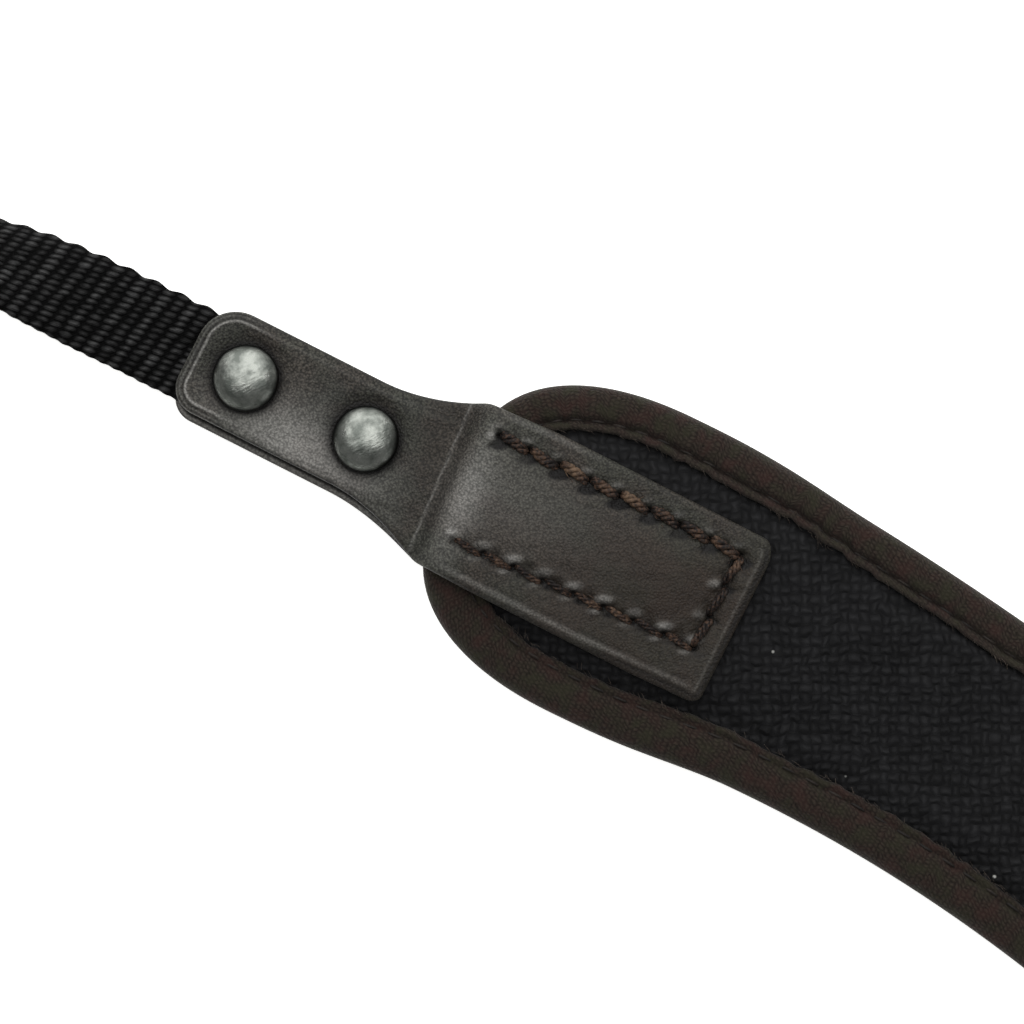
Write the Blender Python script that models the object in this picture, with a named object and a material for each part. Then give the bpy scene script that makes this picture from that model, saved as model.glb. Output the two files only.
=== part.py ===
"""Padded neck strap for binoculars, laid flat on a surface as one open loop.

A curved pad with a bound edge carries a leather tab at each end. Webbing is riveted into each tab, rolls onto
its edge, comes round to the front and ends in a small eye that a plain slider holds shut.
Metres, +Z up. The surface is z = 0, and the strap is the same on both sides of x = 0.
"""
import math

import bmesh
import bpy
from mathutils import Matrix, Vector

# Clearance between pieces that touch on the real strap
gap = 0.0003

# Neck pad: foam under woven fabric, from its middle at x = 0 to the round end of a lobe
pad_half_length = 0.208
pad_bend_radius = 0.240
pad_straight = 0.029
pad_lobe_width = 0.0337
pad_waist_width = 0.0286
pad_lobe_length = 0.020
pad_taper_length = 0.062
pad_thickness = 0.0052
pad_pressed = 0.0042
pad_edge_thickness = 0.0020
pad_shoulder_share = 0.56
lobe_power_along = 2.2
lobe_power_across = 3.1

# Tape folded over the pad's edge; it shows wider on the edge that faces the neck
tape = 0.0008
tape_cover_outer = 0.00435
tape_cover_inner = 0.0051
tape_fold = 0.00185

# Leather tab, measured along the strap from the rivet nearest the pad
leather = 0.0015
leather_edge_round = 0.0004
tongue_width = 0.0127
tongue_offset = 0.00025
tongue_corner = 0.0040
tongue_turn = math.radians(1.0)
layer_shift = 0.0004
tip_past_rivet = 0.0063
crease_from_rivet = 0.0085
rise_length = 0.0032
flare_length = 0.0110
flare_power = 1.9
patch_width = 0.0183
patch_end_width = 0.0171
patch_length = 0.0343
patch_corner = 0.0018
pad_past_crease = 0.0015

# Rivets
rivet_spacing = 0.0140
rivet_cap_diameter = 0.0070
rivet_cap_height = 0.0017
rivet_post_diameter = 0.0024
rivet_back_diameter = 0.0064
rivet_back_height = 0.0006
rivet_sides = 16

# Webbing
webbing_width = 0.0100
webbing_thickness = 0.0013
webbing_past_rivet = 0.0045
roll_length = 0.047
roll_turn = math.radians(9)
roll_turn_power = 1.5
bend_radius = 0.085
bend_peak = 0.5
ends_apart = 0.050

# Slider and the eye that the webbing makes past it
slider_thickness = 0.0020
slider_bar = 0.0022
slider_middle_bar = 0.0026
slider_rail = 0.0022
slider_round = 0.00035
slot_play = 0.0010
slot_side_play = 0.0005
eye_length = 0.022
eye_height = 0.0062
tail_length = 0.024

# Along the strap from the inner rivet, positive towards the pad
tip_at = -(rivet_spacing + tip_past_rivet)
pad_end_at = crease_from_rivet + pad_past_crease
patch_end_at = crease_from_rivet + patch_length
pad_middle_at = pad_end_at + pad_half_length
bend_length_of_pad = pad_half_length - pad_straight
end_angle = bend_length_of_pad / pad_bend_radius

# Heights
tape_half = pad_edge_thickness / 2 + gap + tape
tongue_low = rivet_back_height + gap
webbing_tab_mid = tongue_low + leather + gap + webbing_thickness / 2
tongue_high = tongue_low + leather + gap + webbing_thickness + gap
pad_mid_at_tab = leather + gap + max(tape_half, pad_pressed / 2)
pad_mid_free = max(tape_half, pad_thickness / 2)
patch_high = pad_mid_at_tab + max(tape_half, pad_pressed / 2) + gap

sides = {"left": 1, "right": -1}
rivet_places = {"outer": -rivet_spacing, "inner": 0.0}


def ease(share):
    """Smooth step from 0 to 1."""
    share = min(1.0, max(0.0, share))
    return share * share * (3 - 2 * share)


def strap_point(along, across, height):
    """A point of the left half: along the strap's midline, across towards the neck, above the surface.

    The midline bends with the pad, runs straight to the crease and turns a little there into the tongue.
    """
    from_middle = pad_middle_at - max(along, crease_from_rivet)
    angle = min(from_middle, bend_length_of_pad) / pad_bend_radius
    rest = from_middle - angle * pad_bend_radius
    outward = Vector((-math.sin(angle), math.cos(angle), 0))
    away = Vector((-math.cos(angle), -math.sin(angle), 0))
    base = outward * pad_bend_radius + away * rest
    if along < crease_from_rivet:
        turn = Matrix.Rotation(-tongue_turn, 3, "Z")
        outward, away = turn @ outward, turn @ away
        base += away * (crease_from_rivet - along)
    return base - outward * across + Vector((0, 0, height))


def material(name, colour, roughness, metallic=0.0):
    mat = bpy.data.materials.new(name)
    mat.use_nodes = True
    shader = mat.node_tree.nodes["Principled BSDF"]
    shader.inputs["Base Color"].default_value = (*colour, 1)
    shader.inputs["Roughness"].default_value = roughness
    shader.inputs["Metallic"].default_value = metallic
    return mat


def add_object(name, mesh, mat=None):
    obj = bpy.data.objects.new(name, mesh)
    bpy.context.collection.objects.link(obj)
    obj.parent = strap
    if mat:
        mesh.materials.append(mat)
    return obj


def mesh_of(name, points, faces, side=1, sharp_angle=40):
    """A mesh of the left side, or its mirror image for the right."""
    mesh = bpy.data.meshes.new(name)
    if side < 0:
        points = [(-p[0], p[1], p[2]) for p in points]
        faces = [tuple(reversed(face)) for face in faces]
    mesh.from_pydata([tuple(p) for p in points], [], faces)
    mesh.shade_smooth()
    mesh.set_sharp_from_angle(angle=math.radians(sharp_angle))
    return mesh


def strip_faces(rows, columns, closed):
    """Quads between neighbouring rows of points; closed rows join their last point to their first."""
    faces = []
    for row in range(rows - 1):
        for column in range(columns if closed else columns - 1):
            following = (column + 1) % columns
            faces.append((row * columns + column, (row + 1) * columns + column,
                          (row + 1) * columns + following, row * columns + following))
    return faces


# Pad and binding

def pad_half_width(along):
    """Half of the bound pad's width: a blunt round lobe that narrows to the waist."""
    from_end = along - pad_end_at
    lobe = max(0.0, 1 - from_end / pad_lobe_length)
    narrowed = (pad_lobe_width - pad_waist_width) / 2
    taper = min(1.0, max(0.0, (from_end - pad_lobe_length) / pad_taper_length))
    width = pad_lobe_width / 2 * (1 - lobe ** lobe_power_along) ** (1 / lobe_power_across)
    return width - narrowed * (1 - (1 - taper) ** 2) * ease(3 * taper)


def pad_mid_height(along):
    """Height of the pad's middle layer: on the lower leather at its ends, down on the surface between."""
    settled = ease((along - patch_end_at) / pad_straight)
    return pad_mid_at_tab + (pad_mid_free - pad_mid_at_tab) * settled


def pad_stations():
    """Places along the strap, from the pad's end to its middle, closer together round the lobe."""
    lobe_steps, taper_steps, long_steps = 9, 5, 11
    lobe = [pad_end_at + pad_lobe_length * (1 - math.cos(math.pi / 2 * k / lobe_steps) ** 1.15)
            for k in range(lobe_steps)]
    taper_start = pad_end_at + pad_lobe_length
    long_start = taper_start + pad_taper_length
    taper = [taper_start + pad_taper_length * k / taper_steps for k in range(taper_steps)]
    remaining = [long_start + (pad_middle_at - long_start) * k / long_steps for k in range(long_steps + 1)]
    return lobe + taper + remaining


def pad_outline():
    """Outer edge of the bound pad's left half, from the middle round the lobe and back to the middle.

    Each row holds the edge point, the direction into the pad, the place along the strap and the side,
    which runs from 1 on the edge that faces the neck to -1 on the outer edge.
    """
    stations = pad_stations()
    route = [(along, pad_half_width(along)) for along in reversed(stations[1:])]
    route += [(stations[0], 0.0)]
    route += [(along, -pad_half_width(along)) for along in stations[1:]]
    points = [strap_point(along, across, 0) for along, across in route]
    mirror = Vector((-1, 1, 1))
    around = [points[1] * mirror] + points + [points[-2] * mirror]
    side_blend = pad_lobe_width / 5
    rows = []
    for k, (along, across) in enumerate(route):
        edge = around[k + 2] - around[k]
        inward = Vector((edge.y, -edge.x, 0)).normalized()
        lean = max(-1.0, min(1.0, across / side_blend))
        rows.append((points[k], inward, along, lean))
    return rows


def tape_cover(lean):
    """How far the tape reaches over the pad's face."""
    middle = (tape_cover_inner + tape_cover_outer) / 2
    return middle + (tape_cover_inner - tape_cover_outer) / 2 * lean


def make_pad(mat):
    """The foam and its cover: pinched thin under the tape, swelling towards the middle of the strap."""
    outline = pad_outline()
    edge_in = tape + gap
    edge_half = pad_edge_thickness / 2
    last_ring = pad_shoulder_share * pad_waist_width / 2

    def rings(lean, along):
        """From the edge inwards: distance in from the tape's outer edge, and half thickness."""
        cover = tape_cover(lean)
        pressed = pad_pressed / 2
        swell = ease((along - patch_end_at) / pad_straight)
        full = pressed + (pad_thickness / 2 - pressed) * swell
        shoulder = cover + gap + 0.4 * (last_ring - cover - gap)
        return ((edge_in, 0.40 * edge_half),
                (edge_in + 0.55 * edge_half, edge_half),
                (cover + gap, 1.1 * edge_half),
                (shoulder, 1.1 * edge_half + 0.68 * (full - 1.1 * edge_half)),
                (last_ring, full))

    points = []
    ring_total = 5
    levels = [(ring, -1) for ring in reversed(range(ring_total))] + [(ring, 1) for ring in range(ring_total)]
    for ring, up in levels:
        for point, inward, along, lean in outline:
            inset, half = rings(lean, along)[ring]
            points.append(point + inward * inset + Vector((0, 0, pad_mid_height(along) + up * half)))
    count = len(outline)
    faces = strip_faces(len(levels), count, closed=False)
    top = (len(levels) - 1) * count
    half_count = count // 2
    for k in range(half_count - 1):
        across = count - 1 - k
        faces.append((top + k, top + across, top + across - 1, top + k + 1))
        faces.append((k, k + 1, across - 1, across))
    tip = half_count
    faces.append((top + tip - 1, top + tip + 1, top + tip))
    faces.append((tip - 1, tip, tip + 1))
    pad = add_object("neck_pad", mesh_of("neck_pad", points, faces), mat)
    add_mirror(pad)
    return pad


def make_binding(mat):
    """The folded tape: a channel section carried round the pad's outline."""
    outline = pad_outline()
    inner_half = pad_edge_thickness / 2 + gap
    points = []
    for point, inward, along, lean in outline:
        cover = tape_cover(lean)
        outer = ((cover, tape_half), (tape_fold, tape_half), (0.45 * tape_fold, 0.86 * tape_half),
                 (0.08 * tape_fold, 0.45 * tape_half))
        inner = ((tape, 0.45 * inner_half), (0.85 * tape_fold, inner_half), (cover, inner_half))
        section = list(outer) + [(inset, -half) for inset, half in reversed(outer)]
        section += [(inset, -half) for inset, half in reversed(inner)] + list(inner)
        for inset, half in section:
            points.append(point + inward * inset + Vector((0, 0, pad_mid_height(along) + half)))
    faces = strip_faces(len(outline), len(section), closed=True)
    binding = add_object("edge_binding", mesh_of("edge_binding", points, faces), mat)
    add_mirror(binding)
    return binding


def add_mirror(obj):
    mirror = obj.modifiers.new("other_half", "MIRROR")
    mirror.use_axis = (True, False, False)
    mirror.use_mirror_merge = True
    mirror.merge_threshold = 0.00001


# Leather tabs

def leather_edges(along, is_upper):
    """Distances of a leather layer's outer and neck-side edges from the strap's midline.

    In the tongue the lower layer shows past the upper one along the neck side.
    """
    flare = min(1.0, max(0.0, (along - pad_end_at + flare_length) / flare_length)) ** flare_power
    taper = max(0.0, (along - pad_end_at) / (patch_end_at - pad_end_at))
    full = tongue_width + (patch_width - tongue_width) * flare - (patch_width - patch_end_width) * taper
    offset = tongue_offset * (1 - flare)
    outer, neck = full / 2 - offset, full / 2 + offset
    shift = layer_shift * (1 - flare)
    return (outer, neck - shift) if is_upper else (outer - shift, neck)


def leather_stations():
    """Places along the leather, with the corner rounding still to take off both edges there."""
    corner_steps, flare_steps, rise_steps, patch_steps = 5, 7, 6, 3
    rows = []
    for k in range(corner_steps + 1):
        turn = math.pi / 2 * k / corner_steps
        rows.append((tip_at + tongue_corner * (1 - math.cos(turn)), tongue_corner * (1 - math.sin(turn))))
    flare_start = pad_end_at - flare_length
    rise_end = crease_from_rivet + rise_length
    for k in range(flare_steps):
        rows.append((flare_start + (crease_from_rivet - flare_start) * k / flare_steps, 0.0))
    for k in range(rise_steps):
        rows.append((crease_from_rivet + rise_length * k / rise_steps, 0.0))
    straight_end = patch_end_at - patch_corner
    for k in range(patch_steps):
        rows.append((rise_end + (straight_end - rise_end) * k / patch_steps, 0.0))
    for k in reversed(range(corner_steps)):
        turn = math.pi / 2 * k / (corner_steps - 1)
        rows.append((straight_end + patch_corner * math.cos(turn), patch_corner * (1 - math.sin(turn))))
    return rows


def leather_mesh(name, side, low_at_tongue, low_at_patch, is_upper):
    """One leather layer: its outward long edges are rounded, and it steps up or down past the crease."""
    points = []
    near, far = (0.0, leather) if is_upper else (leather, 0.0)
    step = leather_edge_round if is_upper else -leather_edge_round
    stations = leather_stations()
    for along, corner in stations:
        outer_edge, neck_edge = leather_edges(along, is_upper)
        low = low_at_tongue + (low_at_patch - low_at_tongue) * ease((along - crease_from_rivet) / rise_length)
        left, right = -(outer_edge - corner), neck_edge - corner
        inset = leather_edge_round
        section = ((left, near), (left, far - step), (left + inset, far),
                   (right - inset, far), (right, far - step), (right, near))
        if not is_upper:
            section = tuple(reversed(section))
        points += [strap_point(along, across, low + height) for across, height in section]
    count = 6
    faces = strip_faces(len(stations), count, closed=True)
    last = (len(stations) - 1) * count
    faces.append(tuple(range(count)))
    faces.append(tuple(last + k for k in reversed(range(count))))
    return mesh_of(name, points, faces, side)


# Rivets

def turned_mesh(name, centre, profile, sides_round, side):
    """A body turned about a vertical axis from rows of radius and height, with a point at both ends."""
    points = [centre + Vector((0, 0, profile[0][1]))]
    for radius, height in profile[1:-1]:
        for k in range(sides_round):
            angle = 2 * math.pi * k / sides_round
            points.append(centre + Vector((radius * math.cos(angle), radius * math.sin(angle), height)))
    points.append(centre + Vector((0, 0, profile[-1][1])))
    ring_total = len(profile) - 2
    faces = [tuple(1 + index for index in reversed(face))
             for face in strip_faces(ring_total, sides_round, closed=True)]
    last = len(points) - 1
    for k in range(sides_round):
        following = (k + 1) % sides_round
        faces.append((0, 1 + following, 1 + k))
        faces.append((last, last - sides_round + k, last - sides_round + following))
    return mesh_of(name, points, faces, side, sharp_angle=50)


def rivet_mesh(name, along, side):
    """Domed cap above the leather, a post through all three layers and a low cap under them."""
    cap_radius = rivet_cap_diameter / 2
    back_radius = rivet_back_diameter / 2
    post_radius = rivet_post_diameter / 2
    cap_low = tongue_high + leather + gap
    rim = 0.25 * rivet_cap_height
    profile = [(0, 0), (0.82 * back_radius, 0), (back_radius, 0.4 * rivet_back_height),
               (back_radius, rivet_back_height), (post_radius, rivet_back_height),
               (post_radius, cap_low), (cap_radius, cap_low), (cap_radius, cap_low + rim)]
    dome_steps = 4
    for k in range(1, dome_steps):
        turn = math.pi / 2 * k / dome_steps
        profile.append((cap_radius * math.cos(turn) ** 0.85,
                        cap_low + rim + (rivet_cap_height - rim) * math.sin(turn)))
    profile.append((0, cap_low + rivet_cap_height))
    return turned_mesh(name, strap_point(along, 0, 0), profile, rivet_sides, side)


def rivet_hole_cutter(name, along, side):
    radius = rivet_post_diameter / 2 + gap
    top = tongue_high + 2 * leather
    profile = [(0, 0), (radius, 0), (radius, top), (0, top)]
    cutter = add_object(name, turned_mesh(name, strap_point(along, 0, 0), profile, rivet_sides, side))
    cutter.hide_render = True
    cutter.display_type = "WIRE"
    return cutter


def cut_rivet_holes(obj, cutters):
    for cutter in cutters:
        hole = obj.modifiers.new("rivet_hole", "BOOLEAN")
        hole.operation = "DIFFERENCE"
        hole.solver = "EXACT"
        hole.object = cutter


# Webbing, slider and eye

def slot_length():
    """Two layers of webbing pass through each slot."""
    return 2 * webbing_thickness + 3 * gap + slot_play


def slider_length():
    return slider_middle_bar + 2 * slot_length() + 2 * slider_bar


def bars_low():
    """Underside of the slider, above the two layers that pass beneath its end bars."""
    return 2 * webbing_thickness + 2 * gap


def weave_guide():
    """Line midway between the two layers as they pass under, over and under the slider's bars.

    Each row holds the distance from the slider's middle, the height and the slope.
    """
    reach = gap + webbing_thickness / 2 + (webbing_thickness + gap) / 2
    middle_corner = Vector((-slider_middle_bar / 2, bars_low() + slider_thickness))
    end_corner = Vector((-slider_middle_bar / 2 - slot_length(), bars_low()))
    span = middle_corner - end_corner
    slope = math.atan2(span.y, span.x) + math.asin(2 * reach / span.length)
    arc_steps = 5
    rows = []
    for k in range(arc_steps + 1):
        turn = slope * k / arc_steps
        rows.append((end_corner.x + reach * math.sin(turn), end_corner.y - reach * math.cos(turn), turn))
    for k in reversed(range(arc_steps + 1)):
        turn = slope * k / arc_steps
        rows.append((middle_corner.x - reach * math.sin(turn), middle_corner.y + reach * math.cos(turn), turn))
    return rows + [(-x, z, -turn) for x, z, turn in reversed(rows)]


def threaded_path():
    """Webbing from the slider's near side through it, round the eye and back through as the tail.

    Rows of distance from the slider's middle and height, in the order in which the webbing runs.
    """
    layer = (webbing_thickness + gap) / 2
    floor_line = webbing_thickness / 2
    guide = weave_guide()
    under = [(x + layer * math.sin(turn), z - layer * math.cos(turn)) for x, z, turn in guide]
    over = [(x - layer * math.sin(turn), z + layer * math.cos(turn)) for x, z, turn in guide]
    eye_radius = (eye_height + webbing_thickness) / 2
    eye_start = slider_length() / 2 + gap
    eye_centre = eye_start + eye_length - eye_radius
    round_steps, slope_steps = 8, 7
    flat = [(eye_start + (eye_centre - eye_start) * k / 3, floor_line) for k in range(3)]
    eye = []
    for k in range(round_steps + 1):
        turn = math.pi * k / round_steps
        eye.append((eye_centre + eye_radius * math.sin(turn),
                    floor_line + eye_radius * (1 - math.cos(turn))))
    tail_line = floor_line + 2 * layer
    drop = floor_line + 2 * eye_radius - tail_line
    back = []
    for k in range(1, slope_steps + 1):
        share = k / slope_steps
        back.append((eye_centre + (eye_start - eye_centre) * share, tail_line + drop * (1 - ease(share))))
    tail = [(-eye_start - tail_length * k / 3, tail_line) for k in range(4)]
    return under + flat + eye + back + list(reversed(over)) + tail


def left_of(heading):
    return Vector((-math.sin(heading), math.cos(heading), 0))


def webbing_route():
    """Stations of the left webbing: middle point and the direction of its neck-side edge."""
    start = strap_point(webbing_past_rivet, tongue_offset, 0)
    tip = strap_point(tip_at, tongue_offset, 0)
    heading = math.pi + end_angle - tongue_turn
    rest_half = webbing_thickness / 2
    lift = webbing_tab_mid - rest_half
    stations = []
    tongue_steps, roll_steps, bend_steps, flat_steps = 2, 12, 27, 3
    for k in range(tongue_steps):
        point = start.lerp(tip, k / tongue_steps)
        stations.append((point + Vector((0, 0, webbing_tab_mid)), left_of(heading)))

    def add_station(point, way, roll, extra):
        across = left_of(way)
        height = webbing_width / 2 * math.sin(roll) + rest_half * math.cos(roll) + extra
        edge = across * math.cos(roll) + Vector((0, 0, math.sin(roll)))
        stations.append((point + Vector((0, 0, height)), edge))

    point = tip.copy()
    add_station(point, heading, 0, lift)
    for k in range(1, roll_steps + 1):
        middle = (k - 0.5) / roll_steps
        way = heading + roll_turn * middle ** roll_turn_power
        point += Vector((math.cos(way), math.sin(way), 0)) * (roll_length / roll_steps)
        share = k / roll_steps
        add_station(point, heading + roll_turn * share ** roll_turn_power, math.pi / 2 * ease(share),
                    lift * (1 - ease(1.6 * share)))
    heading += roll_turn
    bend_turn = 2 * math.pi - heading
    bend_length = bend_turn * bend_radius

    def bent(share):
        return bend_turn * (share - bend_peak * math.sin(2 * math.pi * share) / (2 * math.pi))

    for k in range(1, bend_steps + 1):
        way = heading + bent((k - 0.5) / bend_steps)
        point += Vector((math.cos(way), math.sin(way), 0)) * (bend_length / bend_steps)
        add_station(point, heading + bent(k / bend_steps), math.pi / 2, 0)
    for k in range(1, roll_steps + 1):
        share = k / roll_steps
        add_station(point + Vector((roll_length * share, 0, 0)), 0, math.pi / 2 * (1 - ease(share)), 0)
    slider_middle = Vector((slider_x(), point.y, 0))
    path = threaded_path()
    flat_start = point.x + roll_length
    flat_length = slider_middle.x + path[0][0] - flat_start
    for k in range(1, flat_steps):
        place = Vector((flat_start + flat_length * k / flat_steps, point.y, rest_half))
        stations.append((place, left_of(0)))
    for x, z in path:
        stations.append((slider_middle + Vector((x, 0, z)), left_of(0)))
    return stations, slider_middle


def slider_x():
    """Middle of the left slider: the eye past it ends half of the spacing short of x = 0."""
    return -ends_apart / 2 - webbing_thickness / 2 - eye_length - gap - slider_length() / 2


def webbing_mesh(name, stations, side):
    half, thick = webbing_width / 2, webbing_thickness / 2
    chamfer = 0.6 * thick
    section = ((half, 0), (half - chamfer, thick), (chamfer - half, thick),
               (-half, 0), (chamfer - half, -thick), (half - chamfer, -thick))
    points = []
    for k, (point, edge) in enumerate(stations):
        before = stations[max(k - 1, 0)][0]
        after = stations[min(k + 1, len(stations) - 1)][0]
        face = (after - before).cross(edge).normalized()
        points += [point + edge * across + face * above for across, above in section]
    count = len(section)
    faces = [tuple(reversed(face)) for face in strip_faces(len(stations), count, closed=True)]
    last = (len(stations) - 1) * count
    faces.append(tuple(reversed(range(count))))
    faces.append(tuple(last + k for k in range(count)))
    return mesh_of(name, points, faces, side)


def slider_mesh(name, middle, side):
    """A plate with two slots: cells of a small grid, without the slots' cells, raised to its thickness."""
    half_bar = slider_middle_bar / 2
    slot_end = half_bar + slot_length()
    half_slot_width = webbing_width / 2 + slot_side_play
    columns = (-slot_end - slider_bar, -slot_end, -half_bar, half_bar, slot_end, slot_end + slider_bar)
    rows = (-half_slot_width - slider_rail, -half_slot_width, half_slot_width, half_slot_width + slider_rail)
    slots = {(1, 1), (3, 1)}
    base = middle + Vector((0, 0, bars_low()))
    body = bmesh.new()
    corners = [[body.verts.new(base + Vector((x * side, y, 0))) for y in rows] for x in columns]
    for i in range(len(columns) - 1):
        for j in range(len(rows) - 1):
            if (i, j) not in slots:
                body.faces.new((corners[i][j], corners[i + 1][j], corners[i + 1][j + 1], corners[i][j + 1]))
    raised = bmesh.ops.extrude_face_region(body, geom=body.faces[:])
    lifted = [item for item in raised["geom"] if isinstance(item, bmesh.types.BMVert)]
    bmesh.ops.translate(body, vec=(0, 0, slider_thickness), verts=lifted)
    if side < 0:
        bmesh.ops.transform(body, matrix=Matrix.Translation((-2 * middle.x, 0, 0)), verts=body.verts)
    bmesh.ops.recalc_face_normals(body, faces=body.faces)
    mesh = bpy.data.meshes.new(name)
    body.to_mesh(mesh)
    body.free()
    mesh.shade_smooth()
    mesh.set_sharp_from_angle(angle=math.radians(50))
    return mesh


def round_edges(obj):
    bevel = obj.modifiers.new("rounded_edges", "BEVEL")
    bevel.width = slider_round
    bevel.segments = 1
    bevel.limit_method = "ANGLE"
    bevel.angle_limit = math.radians(30)


def centre_over_surface():
    """Puts the middle of the strap's box over x = 0, y = 0."""
    depths = [v.co.y for obj in strap.children if not obj.hide_render for v in obj.data.vertices]
    strap.location.y = -(min(depths) + max(depths)) / 2


for old in list(bpy.data.objects):
    bpy.data.objects.remove(old, do_unlink=True)

strap = bpy.data.objects.new("strap", None)
bpy.context.collection.objects.link(strap)

canvas = material("black_canvas", (0.010, 0.010, 0.011), 0.9)
twill = material("brown_twill_tape", (0.026, 0.015, 0.011), 0.85)
hide = material("brown_leather", (0.040, 0.033, 0.028), 0.5)
nickel = material("antiqued_nickel", (0.21, 0.23, 0.22), 0.35, 1.0)
nylon = material("black_webbing", (0.008, 0.008, 0.008), 0.7)
acetal = material("black_acetal", (0.012, 0.012, 0.012), 0.4)

make_pad(canvas)
make_binding(twill)
route, slider_middle = webbing_route()
for side_name, side in sides.items():
    hole_cutters = []
    for rivet_name, along in rivet_places.items():
        name = f"{rivet_name}_rivet_{side_name}"
        add_object(name, rivet_mesh(name, along, side), nickel)
        hole_cutters.append(rivet_hole_cutter(f"{name}_hole", along, side))
    name = f"upper_leather_{side_name}"
    upper = add_object(name, leather_mesh(name, side, tongue_high, patch_high, True), hide)
    name = f"lower_leather_{side_name}"
    lower = add_object(name, leather_mesh(name, side, tongue_low, 0.0, False), hide)
    name = f"webbing_{side_name}"
    web = add_object(name, webbing_mesh(name, route, side), nylon)
    for layer in (upper, lower, web):
        cut_rivet_holes(layer, hole_cutters)
    name = f"slider_{side_name}"
    round_edges(add_object(name, slider_mesh(name, slider_middle, side), acetal))
centre_over_surface()
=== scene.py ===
import math
from functools import partial

import bpy
import numpy as np
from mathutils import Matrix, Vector


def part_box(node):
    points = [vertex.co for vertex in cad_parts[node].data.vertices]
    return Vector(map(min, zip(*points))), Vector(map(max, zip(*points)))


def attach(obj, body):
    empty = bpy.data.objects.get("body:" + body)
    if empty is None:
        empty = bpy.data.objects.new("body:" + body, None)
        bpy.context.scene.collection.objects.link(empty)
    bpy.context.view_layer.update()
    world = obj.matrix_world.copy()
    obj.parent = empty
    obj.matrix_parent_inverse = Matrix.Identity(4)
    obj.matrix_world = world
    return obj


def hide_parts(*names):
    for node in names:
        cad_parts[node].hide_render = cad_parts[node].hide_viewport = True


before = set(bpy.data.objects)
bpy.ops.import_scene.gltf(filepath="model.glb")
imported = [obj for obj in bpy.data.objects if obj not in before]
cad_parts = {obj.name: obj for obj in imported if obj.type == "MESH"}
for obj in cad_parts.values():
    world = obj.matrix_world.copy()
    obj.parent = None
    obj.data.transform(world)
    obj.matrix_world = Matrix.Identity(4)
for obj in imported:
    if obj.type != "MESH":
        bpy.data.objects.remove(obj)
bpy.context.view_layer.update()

mm = 0.001

strapLine = {  # midline, measured along the strap from the rivet nearest the pad
    "crease": 8.5 * mm,
    "padEnd": 10 * mm,
    "padMiddle": 218 * mm,
    "bentLength": 179 * mm,
    "bendRadius": 240 * mm,
    "tongueTurn": math.radians(1.0),
    "turnSpan": 5 * mm,  # the small turn at the crease is spread over this much leather
}
padSizes = {
    "lobeWidth": 33.7 * mm,
    "waistWidth": 28.6 * mm,
    "lobeLength": 20 * mm,
    "lobePowers": (2.2, 3.1),  # how full the lobe's outline is towards its tip and its sides
    "taperLength": 62 * mm,
    "midAtTab": 3.9 * mm,
    "midFree": 2.6 * mm,
    "settle": 29 * mm,  # length in which the pad comes down onto the surface
    "edgeIn": 1.1 * mm,
    "edgeHalf": 1.0 * mm,
    "pressedHalf": 2.1 * mm,
    "freeHalf": 2.6 * mm,
    "crown": 2.2,  # how fast the face rises inside the tape
    "shoulderIn": 8 * mm,
    "spineIn": 12 * mm,  # the lobe's spine starts this far from its tip
    "spineBack": 2 * mm,
    "spineLean": 0.12,
    "spineRound": 8 * mm,
    "slimmer": 0.5 * mm,  # taken off each face before the foam swells
    "quickSwell": 0.55,
    "swellCap": 0.9 * mm,
    "coarseStep": 4.2 * mm,  # mesh that the simulation moves
    "coarseRings": (0.7, 1.0, 1.3, 1.65, 2.0, 2.5, 3.0),
    "pressure": 4.0,
    "stiffness": 12,
    "bendStiffness": 0.4,
    "shrink": -0.015,
    "frames": 20,
    "step": 0.9 * mm,  # mesh of the finished cover
    "rings": (0, 0.1, 0.4, 0.9, 1, 1.06, 1.13, 1.22, 1.33, 1.46, 1.6, 1.75, 1.9, 2.05, 2.22, 2.4, 2.6,
              2.8, 3),
    "unevenness": 0.10 * mm,
    "stitchDip": 0.10 * mm,  # the face dips beside each stitch of the tape
}
endAngle = strapLine["bentLength"] / strapLine["bendRadius"]
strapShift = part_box("edge_binding")[1].y - strapLine["bendRadius"] - padSizes["waistWidth"] / 2


def ease(share):
    share = np.clip(share, 0, 1)
    return share * share * (3 - 2 * share)


def fade(value, start, length):
    # Rises from 0 at the start to 1 that length further on
    return ease((value - start) / length)


def bell(distance, width):
    return np.exp(-(distance / width) ** 2)


def waves(x, y, size, seed, total=18):
    # Soft unevenness between about -1 and 1, with bumps of about that size
    rng = np.random.default_rng(seed)
    value = 0
    for k in range(total):
        turn, phase = rng.uniform(0, math.tau, 2)
        reach = rng.uniform(0.7, 1.6) * math.tau / size
        value = value + np.cos(reach * (x * math.cos(turn) + y * math.sin(turn)) + phase)
    return value / math.sqrt(total)


def strapPoint(along, across, height=0.0):
    # Row-frame place of a point on the left half: along the strap, across towards the neck, above the surface
    along, across, height = np.broadcast_arrays(*(np.asarray(v, float) for v in (along, across, height)))
    radius = strapLine["bendRadius"]
    fromMiddle = strapLine["padMiddle"] - np.maximum(along, strapLine["crease"])
    angle = np.minimum(fromMiddle, strapLine["bentLength"]) / radius
    straight = fromMiddle - angle * radius
    before = strapLine["crease"] - along
    turned = angle - strapLine["tongueTurn"] * ease(before / strapLine["turnSpan"] + 0.5)
    past = np.maximum(before, 0)
    x = -np.sin(angle) * radius - np.cos(angle) * straight - np.cos(turned) * past + np.sin(turned) * across
    y = np.cos(angle) * radius - np.sin(angle) * straight - np.sin(turned) * past - np.cos(turned) * across
    return np.stack([x, y + strapShift, height], -1)


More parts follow.
